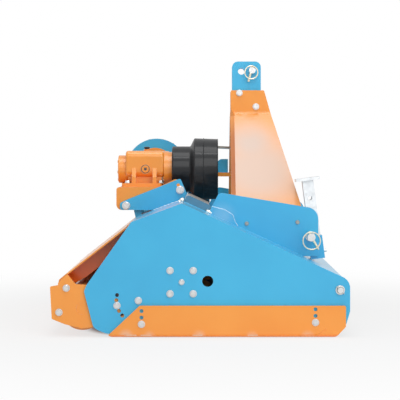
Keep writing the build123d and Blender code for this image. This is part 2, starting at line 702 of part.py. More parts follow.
# Mast ears and the top link pin
ear_in, ear_out = ear_gap / 2, ear_gap / 2 + ear_t
mast_pin_z = link_pin_z + mast_height
ear_low_z, ear_top_z = mast_pin_z - ear_below, mast_pin_z + ear_above
ear_face = outline([
    (ear_rear_x, ear_low_z, 8),
    (ear_rear_x, ear_top_z, ear_corner_r),
    (ear_front_x, ear_top_z, ear_corner_r),
    (ear_front_x, ear_low_z, 8),
])
ear_face -= Pos(top_pin_x, mast_pin_z) * Circle(top_pin_r + link_hole_gap)
ear_face -= Pos(spare_hole_x, mast_pin_z - spare_hole_drop) * Circle(spare_hole_r)
nodes["mast_ear_left"] = across(ear_face, ear_in, ear_out)
nodes["mast_ear_right"] = mirrored(nodes["mast_ear_left"])
top_pin = rod_y(top_pin_x, mast_pin_z, top_pin_r, -ear_out - top_pin_reach, ear_out)
top_pin += rod_y(top_pin_x, mast_pin_z, top_pin_head_r, ear_out, ear_out + top_pin_head_t)
nodes["top_link_pin"] = top_pin

# Mast legs: flat at the ears, flared below the bend, rear edge folded inwards
leg_top_z = ear_low_z + leg_lap
leg_bend_z = leg_top_z - leg_bend_drop
leg_top_y = ear_out + leg_t
leg_lean = (hitch_in - leg_top_y) / (leg_bend_z - leg_foot_z)
leg_wall = leg_t * hypot(1, leg_lean)


def leg_y(z):
    """Outer face of the flared leg at a height above the ground."""
    return leg_top_y + (leg_bend_z - z) * leg_lean


leg_end_z = leg_foot_z - leg_wall / leg_lean
leg_side = outline([
    (leg_rear_x, leg_top_z, 6),
    (leg_front_x, leg_top_z, 6),
    (leg_foot_front_x, leg_foot_z, 0),
    (leg_foot_front_x, leg_end_z, 0),
    (leg_fold_x, leg_end_z, 0),
    (leg_fold_x, leg_bend_z, 0),
    (leg_rear_x, leg_bend_z + leg_flange_back, 0),
])
leg_path = [(leg_top_y, leg_top_z), (leg_top_y, leg_bend_z), (leg_y(leg_end_z), leg_end_z)]
leg = along(bent_sheet(leg_path, leg_t, leg_bend_r), 0, hitch_front_x) & across(leg_side, 0, hitch_in)
fold_x, fold_back_x = leg_fold_x, leg_fold_x - leg_flange_back
fold_face = make_face(Polyline(
    (fold_x, hitch_in), (fold_back_x, hitch_in - leg_flange_in),
    (fold_back_x + leg_t, hitch_in - leg_flange_in), (fold_x + leg_t, hitch_in), close=True))
fold_rise = leg_bend_z - leg_bend_r - leg_foot_z
fold_way = (0, -leg_lean, 1)
leg += extrude(Pos(0, 0, leg_foot_z) * fold_face, amount=fold_rise * hypot(1, leg_lean), dir=fold_way)
nodes["mast_leg_left"] = leg
nodes["mast_leg_right"] = mirrored(leg)

# Tie between the legs
tie_z = leg_bend_z - tie_drop
tie_high = tie_z + tie_t
tie_low_y, tie_high_y = leg_y(tie_z) - leg_wall, leg_y(tie_high) - leg_wall
tie_face = make_face(Polyline(
    (-tie_low_y, tie_z), (tie_low_y, tie_z), (tie_high_y, tie_high), (-tie_high_y, tie_high), close=True))
nodes["mast_tie"] = along(tie_face, tie_rear_x, tie_front_x)

# Stay from the cross tube to the left leg, with an upright plate on it
stay_end_x = leg_fold_x - leg_t
stay_mid_z = drive_stay_low_z + drive_stay_h / 2
stay_face = Pos((drive_x + stay_end_x) / 2, stay_mid_z) * Rectangle(stay_end_x - drive_x, drive_stay_h)
stay_face += Pos(drive_x, drive_z) * Circle(drive_stay_eye_r)
stay_face -= Pos(drive_x, drive_z) * Circle(cross_tube_r + running_fit)
stay_out_y = drive_stay_y + drive_stay_t
nodes["drive_stay"] = across(stay_face, drive_stay_y, stay_out_y) - leg
stay_top_z = drive_stay_low_z + drive_stay_h
stay_plate_front_x = fold_back_x - leg_t / 2
stay_plate_face = outline([
    (stay_plate_x, stay_top_z, 0),
    (stay_plate_x, stay_top_z + stay_plate_h, stay_plate_r),
    (stay_plate_front_x, stay_top_z + stay_plate_h, 0),
    (stay_plate_front_x, stay_top_z, 0),
])
nodes["stay_plate"] = across(stay_plate_face, drive_stay_y, stay_out_y)

# Folded beams on the hood's front slope, closed at their outer ends
front_slope = atan2(ridge_z - lip_z, lip_x)


def slope_point(s, n):
    """Place at s down the front slope from the ridge and n above the hood."""
    x = s * cos(front_slope) + n * sin(front_slope)
    return (x, ridge_z - s * sin(front_slope) + n * cos(front_slope))


beam_end = beam_start + beam_length
beam_rows = [
    # along the slope, out of the hood, corner radius
    (beam_start, 0, 0),
    (beam_start, beam_h, beam_bend_r + hood_t),
    (beam_end, beam_h, beam_bend_r + hood_t),
    (beam_end, 0, 0),
]
beam_path = [slope_point(s, n) for s, n, r in beam_rows]
beam = across(bent_sheet(beam_path, hood_t, beam_bend_r), beam_inner_y, hitch_out)
beam += across(outline([(*slope_point(s, n), r) for s, n, r in beam_rows]), hitch_out - hood_t, hitch_out)
nodes["hood_beam_left"] = beam
nodes["hood_beam_right"] = mirrored(beam)

# Parking stand in its socket, both on one leaning axis
stand_place = Pos(stand_mid_x, socket_w / 2 - hitch_in, stand_mid_z) * Rot(0, -stand_lean, 0)


def square_tube(w, wall, length):
    """Square tube about the local upright axis."""
    inside = w - 2 * wall
    return Box(w, w, length) - Box(inside, inside, length)


def level_rod(x_low, x_high, r):
    """Round bar along the local forward axis, at the clamp's height."""
    return Pos((x_low + x_high) / 2, 0, -clamp_below) * Rot(0, 90, 0) * Cylinder(r, x_high - x_low)


clamp_x = stand_w / 2 + clamp_gap
socket = square_tube(socket_w, socket_wall, socket_length)
nodes["stand_socket"] = stand_place * (socket - level_rod(0, socket_w, clamp_r + link_hole_gap))
nodes["stand_clamp"] = stand_place * level_rod(clamp_x, clamp_x + clamp_length, clamp_r)
stand_low = stand_lift - socket_length / 2
stand_high = stand_low + stand_length
stand = Pos(0, 0, (stand_low + stand_high) / 2) * square_tube(stand_w, stand_wall, stand_length)
stand -= Pos(0, 0, stand_hole_at) * Rot(90, 0, 0) * Cylinder(stand_hole_r, 2 * stand_w)
stand += Pos(0, 0, stand_high + stand_foot_t / 2) * Box(stand_foot_w, stand_foot_w, stand_foot_t)
nodes["parking_stand"] = stand_place * stand

# The origin is under the middle of the whole machine, on the ground
origin_x = (arm_rear_x + plate_front_x) / 2
origin_y = (cover_out - rod_half) / 2

os.makedirs("parts", exist_ok=True)
for name, piece in nodes.items():
    export_step(Pos(-origin_x, -origin_y, 0) * piece, f"parts/{name}.step")
print("origin", origin_x, origin_y, "pieces", len(nodes))
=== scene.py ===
# %% [markdown]
# # A flail mulcher for a tractor's three-point hitch
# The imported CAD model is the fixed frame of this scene. It already has every plate, tube and casting at its real
# size, so the lesson adds what a model maker adds last: the finish of each surface, the bolts and washers, the weld
# beads, the spring-ring pins, and a studio like the one in the photograph.

# %% Load the frame
import json
import math
import random

import bmesh
import bpy
from mathutils import Matrix, Vector


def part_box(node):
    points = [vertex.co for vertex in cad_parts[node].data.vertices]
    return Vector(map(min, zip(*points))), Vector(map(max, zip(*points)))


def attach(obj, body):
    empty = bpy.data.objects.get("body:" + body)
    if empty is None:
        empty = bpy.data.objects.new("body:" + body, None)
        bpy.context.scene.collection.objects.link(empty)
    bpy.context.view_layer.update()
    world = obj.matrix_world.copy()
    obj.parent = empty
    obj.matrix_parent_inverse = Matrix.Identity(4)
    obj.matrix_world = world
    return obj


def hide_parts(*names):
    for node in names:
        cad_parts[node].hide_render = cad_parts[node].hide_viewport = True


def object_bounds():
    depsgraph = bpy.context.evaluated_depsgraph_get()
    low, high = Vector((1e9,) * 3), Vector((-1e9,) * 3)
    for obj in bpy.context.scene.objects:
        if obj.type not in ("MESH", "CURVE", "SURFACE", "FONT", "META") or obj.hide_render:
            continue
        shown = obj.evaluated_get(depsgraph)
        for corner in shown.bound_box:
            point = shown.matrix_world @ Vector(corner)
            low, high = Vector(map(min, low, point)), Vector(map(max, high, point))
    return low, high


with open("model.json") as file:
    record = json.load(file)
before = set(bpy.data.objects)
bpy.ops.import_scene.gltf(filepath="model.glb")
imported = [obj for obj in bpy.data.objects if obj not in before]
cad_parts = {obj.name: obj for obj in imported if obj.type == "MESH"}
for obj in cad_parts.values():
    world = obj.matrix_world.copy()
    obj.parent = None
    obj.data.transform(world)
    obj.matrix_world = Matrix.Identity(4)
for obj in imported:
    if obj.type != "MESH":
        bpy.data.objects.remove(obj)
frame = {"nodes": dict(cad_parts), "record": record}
CAD_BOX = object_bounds()
NODES = frame["nodes"]
print("pieces in the frame:", len(NODES))

# %% [markdown]
# ## Places on the machine
# Fasteners are placed the way a fitter would measure them: along and above from the rotor's axis. Its place is read
# from the frame, so a change of the model moves the bolts with it. One helper turns millimetres from that axis and
# from the middle of the machine into Blender's metres.

# %% Datum of the machine
MM = 0.001
shaft_low, shaft_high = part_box("rotor_shafts")
near_plate, far_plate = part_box("side_plate_right"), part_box("side_plate_left")
ROTOR_X = (shaft_low.x + shaft_high.x) / 2
ROTOR_Z = (shaft_low.z + shaft_high.z) / 2
MIDDLE_Y = (shaft_low.y + shaft_high.y) / 2
GROUND_Z = CAD_BOX[0][2]


def at(x, y, z):
    """Millimetres from the rotor axis, the machine's middle and the ground, as metres in the frame."""
    return Vector((ROTOR_X + x * MM, MIDDLE_Y + y * MM, GROUND_Z + z * MM))


RIGHT_FACE = (near_plate[0].y - MIDDLE_Y) / MM
LEFT_FACE = (far_plate[1].y - MIDDLE_Y) / MM
print("rotor axis at", round(ROTOR_X, 3), round(ROTOR_Z, 3), "side faces at", round(RIGHT_FACE), round(LEFT_FACE))

# %% [markdown]
# ## Writing shader maths as sums
# A painted surface is never one colour, and the small changes come from noise, masks and products of them. Wiring
# Math nodes by hand hides the sum, so a small class wraps a socket and lets Python's own operators add the nodes.
# Then `1 - dust * 0.4` reads like the formula that it is. Colours are mixed by Mix nodes only, because a Math node
# would turn them grey.


# %% Sockets that can be added and multiplied
class Wire:
    """One output socket of a finish, with the operators that its sums need."""

    def __init__(self, finish, socket):
        self.finish = finish
        self.socket = socket

    def sum_with(self, operation, other, turned=False):
        pair = (other, self) if turned else (self, other)
        return self.finish.node("ShaderNodeMath", {"operation": operation}, {0: pair[0], 1: pair[1]})

    def __add__(self, other):
        return self.sum_with("ADD", other)

    def __radd__(self, other):
        return self.sum_with("ADD", other, turned=True)

    def __sub__(self, other):
        return self.sum_with("SUBTRACT", other)

    def __rsub__(self, other):
        return self.sum_with("SUBTRACT", other, turned=True)

    def __mul__(self, other):
        return self.sum_with("MULTIPLY", other)

    def __rmul__(self, other):
        return self.sum_with("MULTIPLY", other, turned=True)

    def above(self, edge, softness):
        """0 below the edge and 1 above it, with a soft step."""
        settings = {"interpolation_type": "SMOOTHSTEP"}
        sockets = {"Value": self, "From Min": edge - softness, "From Max": edge + softness}
        return self.finish.node("ShaderNodeMapRange", settings, sockets)


print("sockets can be added, taken away and multiplied")

# %% [markdown]
# ## One workshop for every finish
# Every finish starts the same way: a Principled shader and a place to read coordinates from. The class below makes
# both, has one method that adds any other node, and a few short ones for what all finishes here share: noise at a
# size in millimetres, how far a face looks up or ahead, and the mask of worn edges. The edge mask compares the true
# surface with a rounded copy of it from the Bevel node, and where they differ there is an edge.

# %% The finish class
NOISE_ROUGHNESS = 0.55
BEVEL_SAMPLES = 6
EDGE_GAIN = 3.0


class Finish:
    """A material with its nodes, made by short calls."""

    def __init__(self, name, **constants):
        self.material = bpy.data.materials.new(name)
        self.material.use_nodes = True
        self.tree = self.material.node_tree
        self.tree.nodes.clear()
        output = self.tree.nodes.new("ShaderNodeOutputMaterial")
        self.shader = self.tree.nodes.new("ShaderNodeBsdfPrincipled")
        self.tree.links.new(self.shader.outputs[0], output.inputs["Surface"])
        for socket, value in constants.items():
            self.shader.inputs[socket.replace("_", " ")].default_value = value
        self.place = self.node("ShaderNodeTexCoord", out="Object")

    def node(self, kind, settings=None, sockets=None, out=0):
        """Adds a node: its settings first, then the values or wires of its sockets."""
        made = self.tree.nodes.new(kind)
        for key, value in (settings or {}).items():
            setattr(made, key, value)
        for key, value in (sockets or {}).items():
            if isinstance(value, Wire):
                self.tree.links.new(value.socket, made.inputs[key])
            else:
                made.inputs[key].default_value = value
        return Wire(self, made.outputs[out])

    def feed(self, socket, wire):
        self.tree.links.new(wire.socket, self.shader.inputs[socket])

    def noise(self, size_mm, detail=3.0, place=None):
        """Noise whose lumps are about this many millimetres across."""
        sockets = {
            "Vector": place or self.place,
            "Scale": 1.0 / (size_mm * MM),
            "Detail": detail,
            "Roughness": NOISE_ROUGHNESS,
        }
        return self.node("ShaderNodeTexNoise", {}, sockets, out="Fac")

    def stretched(self, x, y, z):
        """The surface's coordinates, scaled along each direction."""
        return self.node("ShaderNodeMapping", {}, {"Vector": self.place, "Scale": (x, y, z)})

    def tint(self, amount, low, high):
        """A colour between two colours, by an amount from 0 to 1."""
        sockets = {"Factor": amount, 6: low, 7: high}
        return self.node("ShaderNodeMix", {"data_type": "RGBA"}, sockets, out=2)

    def facing(self, axis):
        """How far the surface faces along an axis, from -1 to 1."""
        normal = self.node("ShaderNodeNewGeometry", out="Normal")
        return self.node("ShaderNodeSeparateXYZ", {}, {0: normal}, out=axis)

    def edges(self, width_mm):
        """About 1 on edges that a hand or a strap rubs, and 0 on open faces."""
        rounded = self.node("ShaderNodeBevel", {"samples": BEVEL_SAMPLES}, {"Radius": width_mm * MM})
        true = self.node("ShaderNodeNewGeometry", out="Normal")
        alike = self.node("ShaderNodeVectorMath", {"operation": "DOT_PRODUCT"}, {0: rounded, 1: true}, out="Value")
        return (1.0 - alike) * EDGE_GAIN

    def bump(self, height, distance_mm, strength=1.0):
        """Feeds a height, in shares of the distance, to the shader's normal."""
        sockets = {"Height": height, "Distance": distance_mm * MM, "Strength": strength}
        self.feed("Normal", self.node("ShaderNodeBump", {}, sockets))


def rgba(red, green, blue):
    return (red, green, blue, 1.0)


print("finish workshop ready")

# %% [markdown]
# ## Powder coat, the paint of the whole machine
# The blue and the orange are the same baked powder coat, so one function makes both. Powder coat is glossy but
# never mirror flat: it has an orange-peel skin of lumps two or three millimetres wide, slow changes of tone where
# the coat is thicker, a little pale dust on what faces up, and rubbed edges where the colour thins. A photograph
# texture could not show this on the unseen sides, so all of it is noise in the object's own space. The colours
# stand in one table. A rubbed orange is for the stitch welds of the skids, and a redder one is painted shade for
# the rear door's ribs, which stand in shadow lit by the orange sheet round them.

# %% Colours of the paints
PAINTS = {
    # name: main colour, deeper colour, settled dust, rubbed edge
    "blue": ((0.040, 0.47, 0.76), (0.030, 0.41, 0.70), (0.45, 0.62, 0.75), (0.45, 0.66, 0.82)),
    "orange": ((0.92, 0.35, 0.045), (0.88, 0.30, 0.030), (0.85, 0.60, 0.42), (0.78, 0.60, 0.50)),
    "black": ((0.025, 0.025, 0.027), (0.018, 0.018, 0.02), (0.16, 0.16, 0.16), (0.22, 0.22, 0.22)),
    "worn_orange": ((0.86, 0.58, 0.40), (0.80, 0.46, 0.26), (0.85, 0.70, 0.58), (0.88, 0.76, 0.66)),
    # a redder orange: painted shade for the rear door's ribs
    "deep_orange": ((0.98, 0.20, 0.015), (0.92, 0.16, 0.010), (0.80, 0.45, 0.25), (0.78, 0.45, 0.30)),
}
print("paints:", list(PAINTS))

# %% [markdown]
# ## Marks that belong to places
# Noise looks alike all over, but a real machine has marks in certain places. The doublers of the hitch plates and
# the lower edges of the skids are rubbed. The rest is painted light: a pale painted reflection of the light above
# on the sloping faces of the mast legs and on the hood's ridge, a painted shade on the fold behind each leg, and a
# deeper, redder painted shade on orange faces that look down, where the shadow is lit by orange sheet. A mark is a
# soft ball round a place or a strip across the machine, measured in millimetres as the bolts are, so it stays put
# from every side.

# %% Places of the marks
SKID_RUBS = [(-190, 20, 0.7), (-110, 16, 0.5), (60, 18, 0.5), (240, 16, 0.5), (430, 18, 0.5)]
RUBS = {
    # paint: rows of x, y and z in millimetres, reach of the rub, its strength and how even it is
    "blue_powder_coat": [(140, -410, 405, 36, 0.35, 0.8), (140, 410, 405, 36, 0.35, 0.8)],
    "orange_powder_coat": [(x, -633, 0, reach, strength, 0.7) for x, reach, strength in SKID_RUBS],
}
# painted reflections of the light above on the mast legs' sloping faces; the same balls give the painted shade on
# the folds behind them
PAINTED_LIGHT_SPOTS = {
    "orange_powder_coat": [
        (240, -125, 695, 75, 0.5, 1.0), (275, -260, 570, 165, 0.9, 1.0),
        (240, 125, 695, 75, 0.2, 1.0), (275, 260, 570, 165, 0.3, 1.0),
    ],
}
# paint: middle, half width, lowest and highest place of the strip of painted reflection, in millimetres
RIDGE_REFLECTION = {"blue_powder_coat": (-52, 50, 400, 475)}
# paint: painted shade colour of what faces down
UNDERSIDE_SHADES = {"orange_powder_coat": (0.95, 0.28, 0.03)}
# the painted reflection on the hood's ridge, the painted reflection on the mast legs, and the painted shade on the
# fold behind it
RIDGE_REFLECTION_COLOUR = rgba(0.50, 0.64, 0.92)
LEG_REFLECTION_COLOUR = rgba(0.59, 0.42, 0.33)
FOLD_SHADE_COLOUR = rgba(0.42, 0.08, 0.015)
RIDGE_SHARE = 0.85
print("rubbed places:", {paint: len(rows) for paint, rows in RUBS.items()})


# %% Masks of the marks
def rub_and_painted_light_mask(paint, spots):
    """Where hands, straps and wiping have dulled the coat, and where the mast legs get a painted reflection and a
    painted shade: soft balls round places, partly broken by streaks.
    """
    streaks = paint.noise(34.0, 3.0, paint.stretched(1.5, 1.0, 0.8)).above(0.54, 0.16)
    total = 0.0
    for x, y, z, reach, strength, evenness in spots:
        sockets = {0: paint.place, 1: at(x, y, z)}
        gap = paint.node("ShaderNodeVectorMath", {"operation": "DISTANCE"}, sockets, out="Value")
        ball = 1.0 - gap.above(reach * MM, reach * 0.7 * MM)
        total = ball * (evenness + streaks * (1.0 - evenness)) * strength + total
    return total


def strip_mask(paint, middle, half, low, high):
    """A strip across the whole machine: round one place along it, and between two heights, in millimetres."""
    soft = 6.0 * MM
    x, z = [paint.node("ShaderNodeSeparateXYZ", {}, {0: paint.place}, out=axis) for axis in ("X", "Z")]
    gap = paint.node("ShaderNodeMath", {"operation": "ABSOLUTE"}, {0: x - at(middle, 0, 0).x})
    level = z.above(at(0, 0, low).z, soft) * (1.0 - z.above(at(0, 0, high).z, soft))
    return (1.0 - gap.above(half * MM, half * 0.4 * MM)) * level


def marked(paint, name, plain, chip):
    """The plain colour under this paint's marks: rubs, painted reflections and painted shade."""
    colour, upward = plain, paint.facing("Z")
    if name in RUBS:
        colour = paint.tint(rub_and_painted_light_mask(paint, RUBS[name]), colour, rgba(*chip))
    if name in RIDGE_REFLECTION:
        # pale painted reflection on the faces of the hood's ridge that look up
        ridge = strip_mask(paint, *RIDGE_REFLECTION[name]) * upward.above(0.8, 0.1)
        colour = paint.tint(ridge * RIDGE_SHARE, colour, RIDGE_REFLECTION_COLOUR)
    if name in UNDERSIDE_SHADES:
        # orange faces that look down take a deeper, redder colour: painted shade
        colour = paint.tint((0.0 - upward).above(0.3, 0.2), colour, rgba(*UNDERSIDE_SHADES[name]))
    if name in PAINTED_LIGHT_SPOTS:
        forward, reach = paint.facing("X"), rub_and_painted_light_mask(paint, PAINTED_LIGHT_SPOTS[name])
        inside_edges = 1.0 - paint.edges(3.0).above(0.3, 0.2)
        reflecting_face = upward.above(0.45, 0.2) * forward.above(-0.3, 0.15) * inside_edges
        # pale painted reflection on the legs' faces that look up and forward
        colour = paint.tint(reach * reflecting_face, colour, LEG_REFLECTION_COLOUR)
        # painted shade on the fold behind each leg, on faces that look backward
        colour = paint.tint(reach * (1.0 - forward.above(-0.5, 0.2)), colour, FOLD_SHADE_COLOUR)
    return colour


print("masks ready")

# %% [markdown]
# The coat itself adds three sizes of noise: slow tone, specks and peel. The tone mixes the main colour with the
# deeper one, the specks break up the dust and the rubbed edges, and the peel is for the bump. A thin clear coat on
# the shader gives the gloss, so the base can stay a little rough.

# %% Powder coat
TONE_MM, SPECK_MM, PEEL_MM = 180.0, 7.0, 2.6
DUST_SHARE, EDGE_SHARE = 0.10, 0.6
RUBBED_EDGE_MM = 2.2


def powder_coat(name, colour, deep, dusty, chip):
    paint = Finish(name, Coat_Weight=0.7, Coat_Roughness=0.2, Coat_IOR=1.5, IOR=1.45)
    tone, speck, peel = paint.noise(TONE_MM, 2.0), paint.noise(SPECK_MM, 4.0), paint.noise(PEEL_MM, 2.0)
    body = paint.tint((tone - 0.35) * 1.6, rgba(*deep), rgba(*colour))
    settled = paint.facing("Z").above(0.55, 0.4) * speck.above(0.5, 0.2) * DUST_SHARE
    dusted = paint.tint(settled, body, rgba(*dusty))
    rubbed = (paint.edges(RUBBED_EDGE_MM) * speck.above(0.52, 0.1)).above(0.42, 0.12)
    paint.feed("Base Color", paint.tint(rubbed * EDGE_SHARE, marked(paint, name, dusted, chip), rgba(*chip)))
    paint.feed("Roughness", 0.26 + tone * 0.10 + settled * 1.5 + rubbed * 0.2)
    paint.bump(peel * 0.6 + speck * 0.4, 0.3, 0.22)
    print("paint made:", name)
    return paint.material


BLUE_PAINT, ORANGE_PAINT, BLACK_PAINT, WORN_ORANGE, SHADED_ORANGE = [
    powder_coat(name + "_powder_coat", *colours) for name, colours in PAINTS.items()
]

# %% [markdown]
# ## Moulded black plastic
# The guard round the power take-off stub is blow-moulded polyethylene: black, rather shiny, not quite even, and with
# the dull scuffs that such a soft plastic gathers. The unevenness is a slow noise in the bump, and the scuffs are
# noise stretched along the machine, which makes them a little paler and rougher than the rest.


# %% Black plastic
def black_plastic():
    plastic = Finish("black_moulded_plastic", IOR=1.3, Coat_Weight=0.3, Coat_Roughness=0.14)
    scuff = plastic.noise(22.0, 3.0, plastic.stretched(0.4, 1.0, 1.0)).above(0.62, 0.06)
    grain = plastic.noise(2.0, 2.0)
    sag = plastic.noise(110.0, 1.0)
    shade = plastic.tint(scuff * 0.25 + sag * 0.1, rgba(0.010, 0.011, 0.013), rgba(0.05, 0.052, 0.055))
    plastic.feed("Base Color", shade)
    plastic.feed("Roughness", 0.42 + scuff * 0.14 + sag * 0.08)
    plastic.bump(grain * 0.15 + sag * 0.85, 0.6, 0.12)
    print("plastic made")
    return plastic.material


BLACK_PLASTIC = black_plastic()

# %% [markdown]
# ## Zinc on bolts, pins and bare beads
# Small hardware is plated. Bolts and pins are bright zinc, slightly bluish and cloudy, linch pins are yellow
# passivated, and a few screws have gone dull. Weld beads that the paint hardly covers are pale metal too. One
# function makes them all from a dull and a bright colour, because a plated metal's look is mostly in how its
# roughness changes. Noise that is squeezed along one direction gives the fine grain of turning.


# %% Zinc plate and bare beads
def zinc_plate(name, dull, bright):
    zinc = Finish(name, Metallic=1.0)
    cloud = zinc.noise(7.0, 4.0)
    turned = zinc.noise(0.8, 2.0, zinc.stretched(1.0, 1.0, 0.2))
    zinc.feed("Base Color", zinc.tint(cloud, rgba(*dull), rgba(*bright)))
    zinc.feed("Roughness", 0.24 + cloud * 0.22)
    zinc.bump(turned * 0.5 + cloud * 0.5, 0.15, 0.25)
    print("zinc made:", name)
    return zinc.material


ZINC = zinc_plate("zinc_plate", (0.56, 0.57, 0.59), (0.82, 0.82, 0.80))
BRASSY_ZINC = zinc_plate("yellow_zinc_plate", (0.70, 0.62, 0.46), (0.92, 0.86, 0.70))
DULL_ZINC = zinc_plate("dull_zinc_plate", (0.26, 0.27, 0.26), (0.46, 0.47, 0.44))
PALE_BEAD = zinc_plate("pale_weld_bead", (0.40, 0.52, 0.64), (0.66, 0.74, 0.82))
RAW_BEAD = zinc_plate("raw_weld_bead", (0.72, 0.74, 0.70), (0.92, 0.92, 0.87))

# %% [markdown]
# ## Galvanised steel
# The parking stand is hot-dip galvanised, and the bath leaves crystals that one can see. Blender's cell texture has
# a random colour for every cell, so one channel of it is a shade for each crystal, and it also changes the gloss.


# %% Galvanised steel
def galvanised():
    coat = Finish("galvanised_steel", Metallic=0.85)
    cells = coat.node("ShaderNodeTexVoronoi", {}, {"Vector": coat.place, "Scale": 90.0}, out="Color")
    spangle = coat.node("ShaderNodeSeparateColor", {}, {0: cells}, out=0)
    cloud = coat.noise(30.0, 3.0)
    shade = spangle * 0.4 + cloud * 0.6
    coat.feed("Base Color", coat.tint(shade, rgba(0.64, 0.67, 0.70), rgba(0.86, 0.88, 0.89)))
    coat.feed("Roughness", 0.34 + spangle * 0.16)
    coat.bump(spangle * 0.3 + cloud * 0.7, 0.3, 0.2)
    return coat.material


GALVANISED = galvanised()
print("galvanised steel made")

# %% [markdown]
# ## Dark steel of the hood's beams
# The two short beams on the hood look dark, cloudy and streaked blue under the clear coat, and their tops are pale.
# A plain blue paint would look too clean there, so the colour is a mix of two dark blues. The pale top is a painted
# reflection of the light above, made from how far the surface faces up.


# %% Dark steel of the beams
def dark_beam_steel():
    sheen = Finish("blue_misted_steel", IOR=1.45, Coat_Weight=0.8, Coat_Roughness=0.15, Coat_IOR=1.5)
    streaks = sheen.noise(16.0, 4.0, sheen.stretched(0.5, 1.0, 3.0))
    cloud = sheen.noise(60.0, 3.0)
    dark_blue = sheen.tint(streaks * 0.6 + cloud * 0.4, rgba(0.030, 0.17, 0.28), rgba(0.08, 0.26, 0.39))
    # painted reflection: faces that look up are made pale
    top = sheen.facing("Z").above(0.75, 0.1)
    sheen.feed("Base Color", sheen.tint(top * 0.95, dark_blue, rgba(0.78, 0.73, 0.68)))
    sheen.feed("Roughness", 0.30 + streaks * 0.20)
    sheen.bump(streaks, 0.2, 0.2)
    return sheen.material


BEAM_STEEL = dark_beam_steel()
print("misted steel made")

# %% [markdown]
# ## Forged steel of the rotor
# The rotor with its hammers and the power take-off stub are dark forged steel with mill scale and a first bloom of
# rust. The scale is fine noise between two near-blacks, the rust is a second noise cut off high, so that it comes
# in spots, and the edges are worn bright.


# %% Forged steel
def forged_steel():
    steel = Finish("forged_dark_steel", Metallic=0.65)
    scale = steel.noise(12.0, 6.0)
    rust = steel.noise(34.0, 5.0).above(0.58, 0.08)
    worn = steel.edges(1.5).above(0.4, 0.15)
    shade = steel.tint(scale, rgba(0.055, 0.052, 0.05), rgba(0.15, 0.145, 0.14))
    rusty = steel.tint(rust * 0.7, shade, rgba(0.20, 0.075, 0.03))
    steel.feed("Base Color", steel.tint(worn * 0.5, rusty, rgba(0.42, 0.41, 0.40)))
    steel.feed("Roughness", 0.42 + scale * 0.2 + rust * 0.25)
    steel.bump(scale, 0.6, 0.4)
    return steel.material


DARK_STEEL = forged_steel()
FINISHES = {
    "blue_paint": BLUE_PAINT,
    "orange_paint": ORANGE_PAINT,
    "black_paint": BLACK_PAINT,
    "black_plastic": BLACK_PLASTIC,
    "zinc_steel": ZINC,
    "galvanised_steel": GALVANISED,
    "dark_steel": DARK_STEEL,
}
print("finishes:", sorted(FINISHES))

# %% [markdown]
# ## Dressing the CAD pieces
# Each CAD node names its finish in the record, so one loop gives every node its material. The sharp edges of a CAD
# mesh catch no light, and real cut plate has a broken edge of about a millimetre. A Weld and a Bevel modifier give
# that edge without touching the mesh itself.

# %% Give every node its finish and its broken edges
BROKEN_EDGE_MM = 0.8
JOIN_MM = 0.02
SHARP_DEGREES = 40


def break_edges(piece):
    weld = piece.modifiers.new("join_corners", "WELD")
    weld.merge_threshold = JOIN_MM * MM
    bevel = piece.modifiers.new("broken_edge", "BEVEL")
    bevel.width = BROKEN_EDGE_MM * MM
    bevel.segments = 2
    bevel.limit_method = "ANGLE"
    bevel.angle_limit = math.radians(SHARP_DEGREES)
    bevel.harden_normals = False
    bevel.use_clamp_overlap = True


slot_of = {row["node"]: row["material_slot"] for row in frame["record"]["subparts"]}
for name, piece in NODES.items():
    piece.data.materials.clear()
    piece.data.materials.append(FINISHES[slot_of[name]])
for name in ("hood_beam_right", "hood_beam_left"):
    NODES[name].data.materials[0] = BEAM_STEEL
PLATES = ("side_plate", "hitch_plate", "mast_ear", "skid", "bracket", "roller_arm", "hood_beam")
for plate in PLATES:
    for side in ("_right", "_left"):
        break_edges(NODES[plate + side])
print("dressed:", len(slot_of), "nodes, with broken edges:", 2 * len(PLATES))

# %% [markdown]
# ## Making small pieces
# Bolts, washers and pins are turned or hexagonal. Blender could add them one by one from its primitives, but a
# profile is what a turner would draw, so every mesh here is a stack of outlines with a skin over them: circles for
# turned pieces, six sides for a hexagon head, and a bent stack for a ring. All build along +Z and are then turned to
# the direction that the fastener points.


# %% Meshes from outlines
def circle(radius, sides):
    """Places evenly round a circle, as rows of x and y."""
    turns = [2 * math.pi * i / sides for i in range(sides)]
    return [(radius * math.cos(turn), radius * math.sin(turn)) for turn in turns]


def skin(mesh, rings, endless=False):
    """Faces between neighbouring rings of corners. The ends are closed or, if endless, joined to each other."""
    pairs = list(zip(rings, rings[1:]))
    if endless:
        pairs.append((rings[-1], rings[0]))
    else:
        mesh.faces.new(list(reversed(rings[0])))
        mesh.faces.new(rings[-1])
    for low, high in pairs:
        for i in range(len(low)):
            j = (i + 1) % len(low)
            mesh.faces.new((low[i], low[j], high[j], high[i]))
    return mesh


def stacked_mesh(layers):
    """Closed mesh from layers of height and outline in millimetres."""
    mesh = bmesh.new()
    return skin(mesh, [[mesh.verts.new((x * MM, y * MM, z * MM)) for x, y in outline] for z, outline in layers])


def turned_mesh(rows, sides=32):
    """Mesh of a closed profile, rows of radius and height in millimetres, swept round +Z."""
    return stacked_mesh([(height, circle(radius, sides)) for radius, height in rows])


def hexagon_mesh(across, height, chamfer=1.2, sides=24, round_share=0.95):
    """Hexagon bolt head: straight flanks, then a turned chamfer to a round top."""
    hexagon = []
    for x, y in circle(across / 2, sides):
        inside = (math.atan2(y, x) + math.pi / 6) % (math.pi / 3) - math.pi / 6
        hexagon.append((x / math.cos(inside), y / math.cos(inside)))
    top = circle(across / 2 * round_share, sides)
    return stacked_mesh([(0.0, hexagon), (height - chamfer, hexagon), (height, top)])


